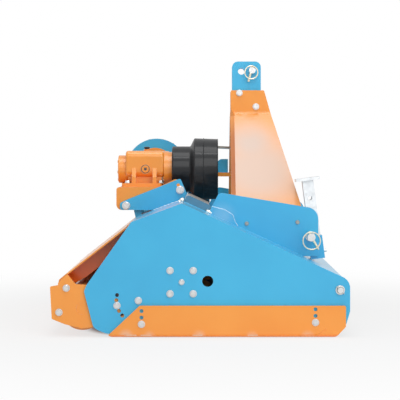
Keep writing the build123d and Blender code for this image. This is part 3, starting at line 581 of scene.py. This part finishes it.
def ring_mesh(radius, wire, sides=48, corners=10):
    """Torus about +Z, in millimetres."""
    mesh = bmesh.new()
    section = [(radius + out, up) for out, up in circle(wire, corners)]
    rings = [
        [mesh.verts.new((x * out * MM, y * out * MM, up * MM)) for out, up in section]
        for x, y in circle(1.0, sides)
    ]
    return skin(mesh, rings, endless=True)


print("mesh makers ready")

# %% [markdown]
# ## Many small pieces in one object
# A machine has dozens of bolts, and an object for each would make the scene slow to read. So all pieces of one kind
# on one side are joined into one object that rides the body they are bolted to. Faces shade smooth, and every edge
# sharper than a limit is marked sharp.

# %% Joining pieces
SMOOTH_DEGREES = 35


def join_copies(name, meshes, material, body, smooth_angle=SMOOTH_DEGREES):
    """One object from rows of bmesh and matrix, shaded smooth but for its sharp edges."""
    whole = bmesh.new()
    for part, matrix in meshes:
        copy = part.copy()
        copy.transform(matrix)
        data = bpy.data.meshes.new("part")
        copy.to_mesh(data)
        copy.free()
        whole.from_mesh(data)
        bpy.data.meshes.remove(data)
    data = bpy.data.meshes.new(name)
    bmesh.ops.recalc_face_normals(whole, faces=whole.faces)
    for face in whole.faces:
        face.smooth = True
    limit = math.radians(smooth_angle)
    for edge in whole.edges:
        if len(edge.link_faces) == 2 and edge.calc_face_angle() > limit:
            edge.smooth = False
    whole.to_mesh(data)
    whole.free()
    data.materials.append(material)
    piece = bpy.data.objects.new(name, data)
    bpy.context.scene.collection.objects.link(piece)
    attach(piece, body)
    print("made", name, "faces", len(data.polygons))
    return piece


def pointing(place, direction, spin=0.0):
    """Matrix that puts a piece built along +Z at a place, pointing in a direction."""
    turn = Vector(direction).to_track_quat("Z", "Y").to_matrix().to_4x4()
    return Matrix.Translation(place) @ turn @ Matrix.Rotation(spin, 4, "Z")


print("joining ready, edges stay smooth up to", SMOOTH_DEGREES, "degrees")

# %% [markdown]
# ## Bolts and washers
# The photograph shows several sizes of bolt: M16 on the gearbox brackets, M12 nearly everywhere, and M8 or M10 in
# the smallest places. The skids' M12 bolts have lower heads than the rest. A head is a chamfered hexagon on a
# washer. The spin of each head differs, as no fitter leaves them in line, so it comes from a seeded random draw.

# %% Bolt heads from a table
random.seed(7)
BOLT_SIZES = {
    # size: across flats, head height, washer radius, washer thickness in millimetres
    "M16": (24.0, 10.0, 15.5, 3.0),
    "M12": (18.0, 7.5, 12.5, 2.5),
    "M10": (16.0, 6.4, 10.0, 2.0),
    "M8": (12.0, 5.3, 7.5, 1.6),
    "M12_low": (18.0, 5.2, 12.5, 2.4),
}
RIGHT, LEFT, UP, FORWARD, BACKWARD = (0, -1, 0), (0, 1, 0), (0, 0, 1), (1, 0, 0), (-1, 0, 0)
SIDES = ((-1, "_right", RIGHT), (1, "_left", LEFT))


def bolt_head(size, place, direction):
    """Rows for join_copies: a washer and a head, standing on a face at place."""
    across, height, washer_r, washer_t = BOLT_SIZES[size]
    away = Vector(direction).normalized()
    rows = [(washer_r - 0.5, 0.0), (washer_r, 0.4), (washer_r, washer_t - 0.4), (washer_r - 0.5, washer_t)]
    top = pointing(place + away * washer_t * MM, away, random.uniform(0, math.pi / 3))
    return [(turned_mesh(rows, 28), pointing(place, away)), (hexagon_mesh(across, height), top)]


def bolts(name, size, places, direction, paint=ZINC):
    heads = [row for place in places for row in bolt_head(size, place, direction)]
    return join_copies(name, heads, paint, "frame")


print("bolt sizes:", list(BOLT_SIZES))

# %% [markdown]
# The side plates carry the rotor bearings inside, and four bolt heads round a small one show outside. The roller
# arm hangs on its pivot bolt, and a second bolt sits in one of its height holes. Both skids have one bolt in
# the lowest hole of each row, because the other holes are for more cutting height. What is alike on both sides comes
# from one table: its places are for the right side, and the left side takes them mirrored. Above the second bolt of
# each arm, a black plug keeps dust out of a spare hole.


# %% Bolts of both sides
def face_of(node):
    """How far a right-hand piece's outer face lies from the machine's middle, in millimetres."""
    return (MIDDLE_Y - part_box(node)[0].y) / MM


rotor_z = (ROTOR_Z - GROUND_Z) / MM
DOUBLER_THICKNESS = 6.0
PLATE, SKID, ARM = face_of("side_plate_right"), face_of("skid_right"), face_of("roller_arm_right")
HITCH, BRACKET, LEG = face_of("hitch_plate_right") - DOUBLER_THICKNESS, face_of("bracket_right"), 48.0
SIDE_BOLTS = [
    # name, size, how far out, rows of x and z
    ("arm_pivot_bolts", "M12", PLATE, [(-148, 125), (-221, 108)]),
    ("skid_bolts", "M12_low", SKID, [(-137, 45), (457, 51)]),
    ("arm_end_bolts", "M12", ARM, [(-395, 167), (-420, 84)]),
    ("hitch_bolts", "M8", HITCH, [(228, 377), (409, 382)]),
    ("bracket_bolts", "M16", BRACKET, [(-216, 431), (-14, 490)]),
    ("mast_bolts", "M12", LEG, [(209, 856), (272, 804)]),
]
for name, size, out, spots in SIDE_BOLTS:
    finish = DULL_ZINC if name == "hitch_bolts" else ZINC
    for side, word, face in SIDES:
        bolts(name + word, size, [at(x, side * out, z) for x, z in spots], face, finish)

# %% Dust plugs and bearing bolts
BEARING_REACH = 39.6
dust_plug = turned_mesh([(6.3, 0.0), (6.3, 1.0), (5.0, 1.8)], 24)
dust_plugs = [(dust_plug, pointing(at(-220.6, side * (PLATE - 2), 143.8), face)) for side, word, face in SIDES]
join_copies("dust_plugs", dust_plugs, BLACK_PLASTIC, "frame")
reach = (-BEARING_REACH, BEARING_REACH)
bearing_spots = [at(dx, -PLATE, rotor_z + dz) for dx in reach for dz in reach]
bolts("bearing_bolts_right", "M12", bearing_spots, RIGHT)
bolts("bearing_centre_right", "M10", [at(0, -PLATE, rotor_z)], RIGHT)

# %% [markdown]
# ## Bolts of the gearbox
# The gearbox stands on four studs with nuts, and its rear cap has six low screws, painted with the casting. On top
# sits a black breather, and in the side a sunk plug with a dark socket. Each is a turned profile of a few rows.

# %% Gearbox bolts, breather and plug
DRIVE_Z = 566.0
FOOT_TOP_Z, FOOT_XS, FOOT_YS = 514, (-213, -88), (-69, 69)
CAP_SCREWS, CAP_SCREW_RADIUS, CAP_TURN = 6, 41, 0.26
cap_x = (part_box("gearbox")[0].x - ROTOR_X) / MM
cap_turns = [CAP_TURN + 2 * math.pi * i / CAP_SCREWS for i in range(CAP_SCREWS)]
cap_places = [
    at(cap_x, CAP_SCREW_RADIUS * math.cos(turn), DRIVE_Z + CAP_SCREW_RADIUS * math.sin(turn)) for turn in cap_turns
]
bolts("gearbox_foot_nuts", "M12", [at(x, y, FOOT_TOP_Z) for x in FOOT_XS for y in FOOT_YS], UP)
cap_screw = turned_mesh([(6.0, 0.0), (6.0, 1.0), (4.6, 2.2), (1.0, 2.4)], 24)
cap_screws = [(cap_screw, pointing(place, BACKWARD)) for place in cap_places]
join_copies("gearbox_cap_screws", cap_screws, ORANGE_PAINT, "frame")
breather_rows = [(7.5, 0.0), (7.5, 3.0), (11.0, 3.4), (11.5, 4.6), (11.0, 8.0), (8.0, 9.4), (2.0, 9.8)]
join_copies("breather", [(turned_mesh(breather_rows), pointing(at(-144, 0, 642), UP))], BLACK_PLASTIC, "frame")
plug_place, socket_place = pointing(at(-147, -75, 567), RIGHT), pointing(at(-147, -75.4, 567), RIGHT)
plug_rows = [(13.6, 0.0), (13.6, 3.8), (12.4, 5.0), (7.0, 5.0), (5.4, 3.0), (5.2, 0.6)]
socket_rows = [(5.3, 0.0), (5.3, 2.6)]
# the dark seal ring round the plug is partly a real seal and partly a painted shade of the groove round it
seal_rows = [(16.4, 0.0), (16.4, 1.0), (14.2, 1.0), (14.2, 0.2)]
join_copies("oil_plug", [(turned_mesh(plug_rows), plug_place)], ORANGE_PAINT, "frame")
socket_and_seal = [(turned_mesh(socket_rows, 6), socket_place), (turned_mesh(seal_rows, 40), plug_place)]
join_copies("oil_plug_socket", socket_and_seal, DARK_STEEL, "frame")

# %% [markdown]
# ## Bolts of the belt cover
# The belt cover's rim is held all round by small bolts. Its outline is a belt round two circles, so the places come
# from walking along two arcs and two straight runs, with a bolt each time an even share of the way is done.

# %% Belt cover bolts
COVER_TOP, COVER_LOW = (-128.0, 557.0, 125.5), (0.0, rotor_z, 73.5)
TOP_STEPS, LOW_STEPS = 48, 32
COVER_BOLTS, RIM_THICKNESS = 14, 3.0
cover_rim_y = (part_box("belt_back_plate")[1].y - MIDDLE_Y) / MM + RIM_THICKNESS


def rim_path():
    """The rim's outline as places of x and z, from two circles of x, z and radius."""
    (ax, az, ar), (bx, bz, br) = COVER_TOP, COVER_LOW
    heading = math.atan2(bz - az, bx - ax)
    spread = math.acos((ar - br) / math.hypot(bx - ax, bz - az))
    path = []
    for i in range(TOP_STEPS + 1):
        turn = heading + spread + (2 * math.pi - 2 * spread) * i / TOP_STEPS
        path.append((ax + ar * math.cos(turn), az + ar * math.sin(turn)))
    for i in range(LOW_STEPS + 1):
        turn = heading - spread + 2 * spread * i / LOW_STEPS
        path.append((bx + br * math.cos(turn), bz + br * math.sin(turn)))
    return path + path[:1]


def spaced(path, count):
    """Places evenly spaced along a closed path."""
    steps = [math.dist(a, b) for a, b in zip(path, path[1:])]
    places, walked, due = [], 0.0, 0.0
    for a, b, step in zip(path, path[1:], steps):
        while due <= walked + step and len(places) < count:
            share = (due - walked) / step
            places.append((a[0] + (b[0] - a[0]) * share, a[1] + (b[1] - a[1]) * share))
            due += sum(steps) / count
        walked += step
    return places


rim_spots = [at(x, cover_rim_y, z) for x, z in spaced(rim_path(), COVER_BOLTS)]
bolts("belt_cover_bolts", "M8", rim_spots, LEFT)

# %% [markdown]
# ## Weld beads
# Brackets, beams, legs and plates are welded. A bead is a row of overlapping ripples, so it is a thin tube along a
# path whose radius swells and shrinks every few millimetres, with both ends closed, and it lies half sunk in its
# corner. Beads along the hitch plates, the legs and the skids are painted over. The photograph shows pale ones round
# the brackets, the doublers and the beams, and thick bare ones at the beams' corners.

# %% Weld beads
RING_STEP_MM = 2.2
RIPPLE_PER_METRE = 2400.0
BEAD_CORNERS = 6
BEAD_SMOOTH_DEGREES = 60


def bead_mesh(path, radius):
    """Rippled tube along a path of places in metres."""
    mesh = bmesh.new()
    rings = []
    walked = 0.0
    turns = [2 * math.pi * k / BEAD_CORNERS for k in range(BEAD_CORNERS)]
    for a, b in zip(path, path[1:]):
        way = b - a
        count = max(2, int(way.length / (RING_STEP_MM * MM)))
        side = way.normalized().orthogonal().normalized()
        other = way.normalized().cross(side)
        for i in range(count + 1):
            ripple = 0.86 + 0.14 * math.sin(walked * RIPPLE_PER_METRE) + random.uniform(-0.05, 0.05)
            centre = a + way * (i / count)
            spokes = [(side * math.cos(turn) + other * math.sin(turn)) * radius * MM * ripple for turn in turns]
            rings.append([mesh.verts.new(centre + spoke) for spoke in spokes])
            walked += way.length / count
    return skin(mesh, rings)


def both_sides(rows):
    """A path and its mirror image, from rows of x, y and z in millimetres."""
    return [[at(x, side * y, z) for x, y, z in rows] for side in (-1, 1)]


def welds(name, runs, radius, material):
    beads = [(bead_mesh(path, radius), Matrix.Identity(4)) for rows in runs for path in both_sides(rows)]
    return join_copies(name, beads, material, "frame", BEAD_SMOOTH_DEGREES)


print("weld beads have a ring every", RING_STEP_MM, "mm")

# %% [markdown]
# The runs are rows of x, y and z for the right side, and the left side takes them mirrored. Many follow the hood, so
# a small function gives the height of its outer face: one ridge with a slope to the front and one to the rear.

# %% Places of the welds
RIDGE_Z, FRONT_SLOPE, REAR_SLOPE = 457.0, 0.4562, 0.37
BEAM_START, BEAM_END = 150.0, 404.5


def hood_z(x):
    """Height of the hood's outer face, from its ridge and its slopes, in millimetres."""
    return RIDGE_Z - FRONT_SLOPE * x if x >= 0 else RIDGE_Z + REAR_SLOPE * x


hitch_run = [(x, HITCH, hood_z(x)) for x in (200.0, 428.0)]
doubler_run = [(x, HITCH, z) for x, z in ((104, 438), (149, 427), (178, 409), (186, 385), (197, 368))]
bracket_run = [(x, BRACKET, hood_z(x)) for x in (-113.0, 0.0)]
beam_runs = [[(x, BEAM_START, z) for x, z in ((3.6, 455.4), (15.3, 480.9))]]
beam_runs += [[(x, y, hood_z(x)) for y in (BEAM_START + 2.0, BEAM_END - 2.5)] for x in (2.0, 89.5)]
beam_end_run = [(x, BEAM_END, hood_z(x)) for x in (4.0, 88.0)]
corner_runs = [
    [(-12.0, 405.0, 454.0), (4.0, 405.0, 466.0)],
    [(84.0, 405.0, 423.0), (102.0, 405.0, 414.0)],
]
leg_run = [(x, 391.0, 433.0) for x in (192.0, 424.0)]
skid_run = [(-196.0, 633.0, 5.0), (458.0, 633.0, 5.0), (494.0, 633.0, 29.0)]
stitch_runs = [[(x, 633.2, 7.5), (x + 34.0, 633.2, 7.5)] for x in (-188.0, -140.0, 38.0, 226.0)]
WELDS = [
    # name, runs, radius of the bead in millimetres, finish
    ("weld_hitch_plates", [hitch_run], 2.6, BLUE_PAINT),
    ("weld_doublers", [doubler_run], 1.6, PALE_BEAD),
    ("weld_brackets", [bracket_run], 2.2, PALE_BEAD),
    ("weld_hood_beams", beam_runs, 2.2, PALE_BEAD),
    ("weld_beam_ends", [beam_end_run], 2.2, BLUE_PAINT),
    ("weld_beam_corners", corner_runs, 9.5, RAW_BEAD),
    ("weld_skid_soles", [skid_run], 2.0, ORANGE_PAINT),
    ("weld_skid_stitches", stitch_runs, 2.4, WORN_ORANGE),
    ("weld_mast_legs", [leg_run], 2.8, ORANGE_PAINT),
]
for row in WELDS:
    welds(*row)

# %% [markdown]
# Above the front bracket bolt is a spare hole, and the carrier's orange shows in it. A thin disc in a thin ring
# is enough at this size.

# %% Spare holes of the brackets
spare_disc, spare_rim = turned_mesh([(6.6, 0.0), (6.6, 0.3)], 28), ring_mesh(7.0, 0.7, 32, 8)
spares = [pointing(at(-21, side * (BRACKET + 0.1), 508), face) for side, word, face in SIDES]
join_copies("bracket_spare_holes", [(spare_disc, spare) for spare in spares], ORANGE_PAINT, "frame")
join_copies("bracket_spare_rims", [(spare_rim, spare) for spare in spares], BLUE_PAINT, "frame")

# %% [markdown]
# ## Linch pins
# A linch pin keeps the tractor's arms on each hitch pin: a short steel pin through the end of the hitch pin, with a
# sprung wire ring that snaps over it. The ring is a torus, and the pin a turned bar with a rounded tip. They are
# yellow-passivated zinc, so a warmer zinc than the bolts.

# %% Linch pins
TOP_PIN_Y, LINK_PIN_Y = -62.0, 470.0


def linch_pin(name, start, end, ring_centre, ring_radius, side):
    """Bar from start to end, and a ring facing sideways, all places in metres."""
    way = end - start
    length = way.length / MM
    head = [(3.0, -1.0), (6.5, 0.5), (6.5, 8.5), (4.6, 9.5)]
    tip = [(4.6, length - 5.0), (3.6, length - 1.4), (1.4, length)]
    bar = (turned_mesh(head + tip, 20), pointing(start, way))
    ring = (ring_mesh(ring_radius, 2.5), pointing(ring_centre, side))
    return join_copies(name, [bar, ring], BRASSY_ZINC, "frame")


top_bar = at(259, TOP_PIN_Y + 6, 960), at(243, TOP_PIN_Y + 6, 897)
linch_pin("linch_pin_top", *top_bar, at(254, TOP_PIN_Y - 5, 933), 24.5, RIGHT)
for side, word, face in SIDES:
    y = side * LINK_PIN_Y
    linch_pin("linch_pin" + word, at(444, y, 352), at(479, y, 288), at(454, y + side * 9, 320), 30.5, face)

# %% [markdown]
# ## Rod ends and the guard's rings
# A washer, a thin collar and a cotter keep the flap rod at each end. The blow-moulded guard has a raised seam round
# its bell, where the two halves of the mould met, and a thicker rim at its mouth. Both are plain rings.

# %% Washers on the flap rod, rings on the guard
flap_low, flap_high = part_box("flap_rod")
rod_x = ((flap_low.x + flap_high.x) / 2 - ROTOR_X) / MM
rod_z = ((flap_low.z + flap_high.z) / 2 - GROUND_Z) / MM
washer = turned_mesh([(15.4, 0.0), (16.0, 0.5), (16.0, 2.5), (15.4, 3.0)], 36)
collar, cotter = ring_mesh(11.2, 1.1, 40, 8), turned_mesh([(1.8, 0.0), (1.8, 37.0)], 10)
for side, word, face in SIDES:
    washer_place = pointing(at(rod_x, side * (PLATE + 0.5), rod_z), face)
    collar_place = pointing(at(rod_x, side * (PLATE + 4.2), rod_z), face)
    cotter_place = pointing(at(rod_x - 13.0, side * (PLATE + 7.0), rod_z + 13.0), (1, 0, -1))
    join_copies("flap_rod_washer" + word, [(washer, washer_place)], ZINC, "frame")
    join_copies("flap_rod_cotter" + word, [(cotter, cotter_place), (collar, collar_place)], DULL_ZINC, "frame")
seam = (ring_mesh(117.4, 1.6, 96), pointing(at(73, 0, DRIVE_Z), FORWARD))
mouth = (ring_mesh(113.6, 2.6, 96), pointing(at(125.3, 0, DRIVE_Z), FORWARD))
join_copies("guard_rings", [seam, mouth], BLACK_PLASTIC, "frame")

# %% [markdown]
# The guard is kept from turning by a thin round stay between its rim and the left mast leg. Its ends are flattened
# and bolted, so each end gets a small round eye, and the rod itself is plain dull zinc.

# %% Stay of the guard
stay_start, stay_end = at(126, 83, 650), at(190, 172, 647)
stay_way = stay_end - stay_start
stay_rod = (turned_mesh([(5.2, 0.0), (5.2, stay_way.length / MM)], 20), pointing(stay_start, stay_way))
stay_eye = (turned_mesh([(11.0, -3.0), (11.0, 3.0)], 28), pointing(stay_start, FORWARD))
stay_nut = (turned_mesh([(8.0, -9.0), (8.0, 2.0)], 28), pointing(stay_end, FORWARD))
join_copies("guard_stay", [stay_rod, stay_eye, stay_nut], DULL_ZINC, "frame")

# %% [markdown]
# Each mast leg has its rear edge folded in. Between the flat top of the leg and that fold is a small bent corner,
# a patch of the same sheet between four places: two on the flat part's lower edge and two on the fold's top.

# %% Bent corners of the mast legs
INWARD_X, INWARD_Y = 2.0, 6.5
CORNER_SMOOTH_DEGREES = 30
fold_rows = [(176.0, -48.0, 797.5), (191.0, -48.0, 780.0), (191.0, -60.4, 768.0), (174.0, -42.4, 768.0)]
corner_meshes = []
for side in (1, -1):
    mesh = bmesh.new()
    outer = [mesh.verts.new(at(x, side * y, z)) for x, y, z in fold_rows]
    inner = [mesh.verts.new(at(x + INWARD_X, side * (y + INWARD_Y), z)) for x, y, z in fold_rows]
    for rows in (outer, inner):
        mesh.faces.new((rows[0], rows[1], rows[2]))
        mesh.faces.new((rows[0], rows[2], rows[3]))
    for i in range(4):
        j = (i + 1) % 4
        mesh.faces.new((outer[i], outer[j], inner[j], inner[i]))
    corner_meshes.append((mesh, Matrix.Identity(4)))
join_copies("mast_leg_corners", corner_meshes, ORANGE_PAINT, "frame", CORNER_SMOOTH_DEGREES)

# %% [markdown]
# ## Stiffening ribs of the rear door
# Two flat ribs stiffen the rear door beside its cheeks. Each is cut along the door, deep at its middle and drawn in
# at both ends, so that it stays clear of the roller. Their places are measured along the closed door from its hinge.

# %% Ribs under the rear door
DOOR_ANGLE = math.radians(38.1)
DOOR_HINGE = (-178.0, 373.0)
RIB_THICKNESS, RIB_INSET = 4.5, 90.0
RIB_SMOOTH_DEGREES = 20


def door_place(s, n, y):
    """Place at s along the closed door from its hinge rod and n out of its face, in millimetres."""
    x = DOOR_HINGE[0] - s * math.cos(DOOR_ANGLE) - n * math.sin(DOOR_ANGLE)
    z = DOOR_HINGE[1] - s * math.sin(DOOR_ANGLE) + n * math.cos(DOOR_ANGLE)
    return at(x, y, z)


def rib_mesh(rows, inner_y, outer_y):
    """Flat plate between two distances across the machine, from rows of s and n."""
    mesh = bmesh.new()
    return skin(mesh, [[mesh.verts.new(door_place(s, n, y)) for s, n in rows] for y in (inner_y, outer_y)])


door_half = (MIDDLE_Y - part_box("rear_door")[0].y) / MM
rib_outer = door_half - RIB_INSET
rib_inner = rib_outer - RIB_THICKNESS
rib_rows = [(20, 4.5), (288, 4.5), (288, -22), (268, -36), (230, -42), (60, -40), (34, -22)]
ribs = [(rib_mesh(rib_rows, side * rib_inner, side * rib_outer), Matrix.Identity(4)) for side in (-1, 1)]
# the ribs take the redder orange, a painted shade of the orange-lit shadow under the door
join_copies("rear_door_ribs", ribs, SHADED_ORANGE, "rear_door", RIB_SMOOTH_DEGREES)

# %% [markdown]
# ## The splined stub
# The power take-off stub has six splines. The CAD piece is a plain round bar of the outer size, so a bar of
# the same form, with the six grooves between its splines, stands in its place and turns with the same body.

# %% Splined stub
SPLINE_OUTER, SPLINE_ROOT = 17.45, 14.8
SEAT_RADIUS, SEAT_LENGTH, SPLINE_LENGTH = 25.0, 29.7, 92.0
TIP_LENGTH, TIP_DROP = 2.0, 1.8
# share of one spline's turn, radius there: three on the spline's top, then three in the groove
SPLINE_ROWS = [(share, SPLINE_OUTER) for share in (0.02, 0.25, 0.50)]
SPLINE_ROWS += [(share, SPLINE_ROOT) for share in (0.56, 0.76, 0.96)]


def spline_outline(shrink, splines=6):
    """Outline of six splines as rows of x and y, all radii made smaller by shrink."""
    places = []
    for i in range(splines):
        for share, radius in SPLINE_ROWS:
            turn = 2 * math.pi * (i + share) / splines
            places.append(((radius - shrink) * math.cos(turn), (radius - shrink) * math.sin(turn)))
    return places


stub_x = (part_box("input_stub")[0].x - ROTOR_X) / MM
full, tip = spline_outline(0.0), spline_outline(TIP_DROP)
spline_mesh = stacked_mesh([(0.0, full), (SPLINE_LENGTH - TIP_LENGTH, full), (SPLINE_LENGTH, tip)])
seat_mesh = turned_mesh([(SEAT_RADIUS, 0.0), (SEAT_RADIUS, SEAT_LENGTH)], 40)
stub_seat = (seat_mesh, pointing(at(stub_x, 0, DRIVE_Z), FORWARD))
stub_bar = (spline_mesh, pointing(at(stub_x + SEAT_LENGTH, 0, DRIVE_Z), FORWARD))
stub = join_copies("splined_stub", [stub_seat, stub_bar], DARK_STEEL, "input_stub")
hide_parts("input_stub")

# %% [markdown]
# ## The studio floor
# The photograph is a catalogue picture, white all round. The floor is plain white light to the camera and to
# reflections, and mixes into a real pale surface near the machine, so that it keeps the soft contact shadow. Near
# the machine the white light is also a little grey: a painted shade, which fades to full white further off. Right
# under the machine, inside a rounded rectangle like its footprint, the floor is a real surface altogether, as dark
# as the machine leaves it. The length of squared coordinates is what gives that rounded rectangle.

# %% Studio floor
FLOOR_SIZE = 60
FLOOR_X, FLOOR_Z = 90.0, -0.5
FOOTPRINT = {"Scale": (2.5, 1.72, 1.0), "Location": (0.11, 0.0, 0.0)}
SHADED_NEAR_WHITE, WHITE = rgba(0.93, 0.93, 0.93), rgba(1.0, 1.0, 1.0)


def open_floor(finish, distance):
    """Share of plain white: none under the machine, most of it beside it, all of it far off."""
    footprint = finish.node("ShaderNodeMapping", {}, {"Vector": finish.place, **FOOTPRINT})
    squared = finish.node("ShaderNodeVectorMath", {"operation": "MULTIPLY"}, {0: footprint, 1: footprint})
    under = finish.node("ShaderNodeVectorMath", {"operation": "LENGTH"}, {0: squared}, out="Value")
    return under.above(1.0, 0.15) * 0.78 + distance.above(1.3, 0.7) * 0.22


def studio_floor():
    """Floor that is dark under the machine, takes a soft shadow and a painted grey shade near it, and is plain white
    further off.
    """
    bpy.ops.mesh.primitive_plane_add(size=FLOOR_SIZE, location=at(FLOOR_X, 0.0, FLOOR_Z))
    floor = bpy.context.object
    floor.name = "studio_floor"
    finish = Finish("studio_floor_white", Roughness=0.9, Specular_IOR_Level=0.1)
    finish.shader.inputs["Base Color"].default_value = rgba(0.95, 0.95, 0.95)
    oval = finish.stretched(1.15, 0.95, 1.0)
    distance = finish.node("ShaderNodeVectorMath", {"operation": "LENGTH"}, {0: oval}, out="Value")
    seen = finish.node("ShaderNodeMath", {"operation": "MAXIMUM"}, {
        0: finish.node("ShaderNodeLightPath", out="Is Camera Ray"),
        1: finish.node("ShaderNodeLightPath", out="Is Glossy Ray"),
    })
    # the white light is greyer near the machine: painted shade
    glow_with_painted_shade = finish.tint(distance.above(1.6, 1.0), SHADED_NEAR_WHITE, WHITE)
    surface = finish.node("ShaderNodeMixShader", {}, {
        0: open_floor(finish, distance) * seen,
        1: Wire(finish, finish.shader.outputs[0]),
        2: finish.node("ShaderNodeEmission", {}, {"Color": glow_with_painted_shade}),
    })
    output = next(node for node in finish.tree.nodes if node.type == "OUTPUT_MATERIAL")
    finish.tree.links.new(surface.socket, output.inputs["Surface"])
    floor.data.materials.append(finish.material)
    print("floor made, metres across:", FLOOR_SIZE)


studio_floor()

# %% [markdown]
# ## World and lamps
# Soft light comes from all round, so the world is white to the camera and to reflections, and a softer grey as
# light. Four area lamps shape the machine: a large panel in front of its right side, a strip and a softbox above it
# for the pale tops of hood and beams, and an upright strip towards the front for gloss on the guard and the pins.
# Hardly any shadow is left, as in the photograph.


# %% World
def studio_world():
    """White for the camera and for reflections, a softer grey as light."""
    world = bpy.data.worlds.new("studio")
    bpy.context.scene.world = world
    world.use_nodes = True
    nodes, links = world.node_tree.nodes, world.node_tree.links
    nodes.clear()
    output = nodes.new("ShaderNodeOutputWorld")
    path = nodes.new("ShaderNodeLightPath")
    shades = {}
    for name, strength in (("light", 0.46), ("camera", 1.0), ("glossy", 0.85)):
        shades[name] = nodes.new("ShaderNodeBackground")
        shades[name].inputs["Strength"].default_value = strength
        shades[name].inputs["Color"].default_value = WHITE
    shade = shades["light"].outputs[0]
    for ray, name in (("Is Glossy Ray", "glossy"), ("Is Transmission Ray", "camera"), ("Is Camera Ray", "camera")):
        mix = nodes.new("ShaderNodeMixShader")
        links.new(path.outputs[ray], mix.inputs[0])
        links.new(shade, mix.inputs[1])
        links.new(shades[name].outputs[0], mix.inputs[2])
        shade = mix.outputs[0]
    links.new(shade, output.inputs[0])
    print("world made with", list(shades))


studio_world()

# %% Lamps
LAMPS = [
    # name, place, target, width and height in metres, power in watts
    ("front_panel", (1.4, -4.6, 3.0), (0.1, 0, 0.4), (4.0, 2.8), 95),
    ("roof_strip", (0.3, -1.7, 3.6), (0.1, 0, 0.5), (1.6, 0.35), 14),
    ("top_softbox", (-0.25, -0.63, 3.6), (-0.25, -0.63, 0.4), (1.5, 1.35), 24),
    ("side_strip", (2.6, -4.4, 0.75), (0.1, 0, 0.5), (0.6, 1.3), 14),
]


def panel(name, place, target, size, power):
    lamp = bpy.data.lights.new(name, "AREA")
    lamp.shape = "RECTANGLE"
    lamp.size, lamp.size_y = size
    lamp.energy = power
    holder = bpy.data.objects.new(name, lamp)
    holder.location = place
    holder.rotation_euler = (Vector(target) - Vector(place)).to_track_quat("-Z", "Y").to_euler()
    bpy.context.scene.collection.objects.link(holder)


for row in LAMPS:
    panel(*row)
print("lamps:", [row[0] for row in LAMPS])

# %% [markdown]
# ## The camera
# Lines across the machine meet at one point of the picture, a little right of its middle and above it. So the camera
# looked level and square at the machine's side from far off, and the picture was cropped low: that is a lens shift.
# The distance follows from how much smaller the far side looks than the near one.

# %% Camera at the photograph's place
PICTURE = 400
FOCAL_PX = 1510.0
VANISH_PX = (208.0, 149.0)
CAMERA_X, CAMERA_Z = 90.0, 643.0
CAMERA_DISTANCE = 5160.0
SENSOR_MM = 36.0
lens = bpy.data.cameras.new("catalogue_camera")
lens.sensor_width = SENSOR_MM
lens.lens = FOCAL_PX * SENSOR_MM / PICTURE
lens.shift_x = (PICTURE / 2 - VANISH_PX[0]) / PICTURE
lens.shift_y = (VANISH_PX[1] - PICTURE / 2) / PICTURE
camera = bpy.data.objects.new("catalogue_camera", lens)
camera.location = at(CAMERA_X, RIGHT_FACE - CAMERA_DISTANCE, CAMERA_Z)
camera.rotation_euler = (math.pi / 2, 0, 0)
bpy.context.scene.collection.objects.link(camera)
bpy.context.scene.camera = camera
bpy.context.scene.view_settings.view_transform = "Standard"
print("camera at", [round(v, 3) for v in camera.location])
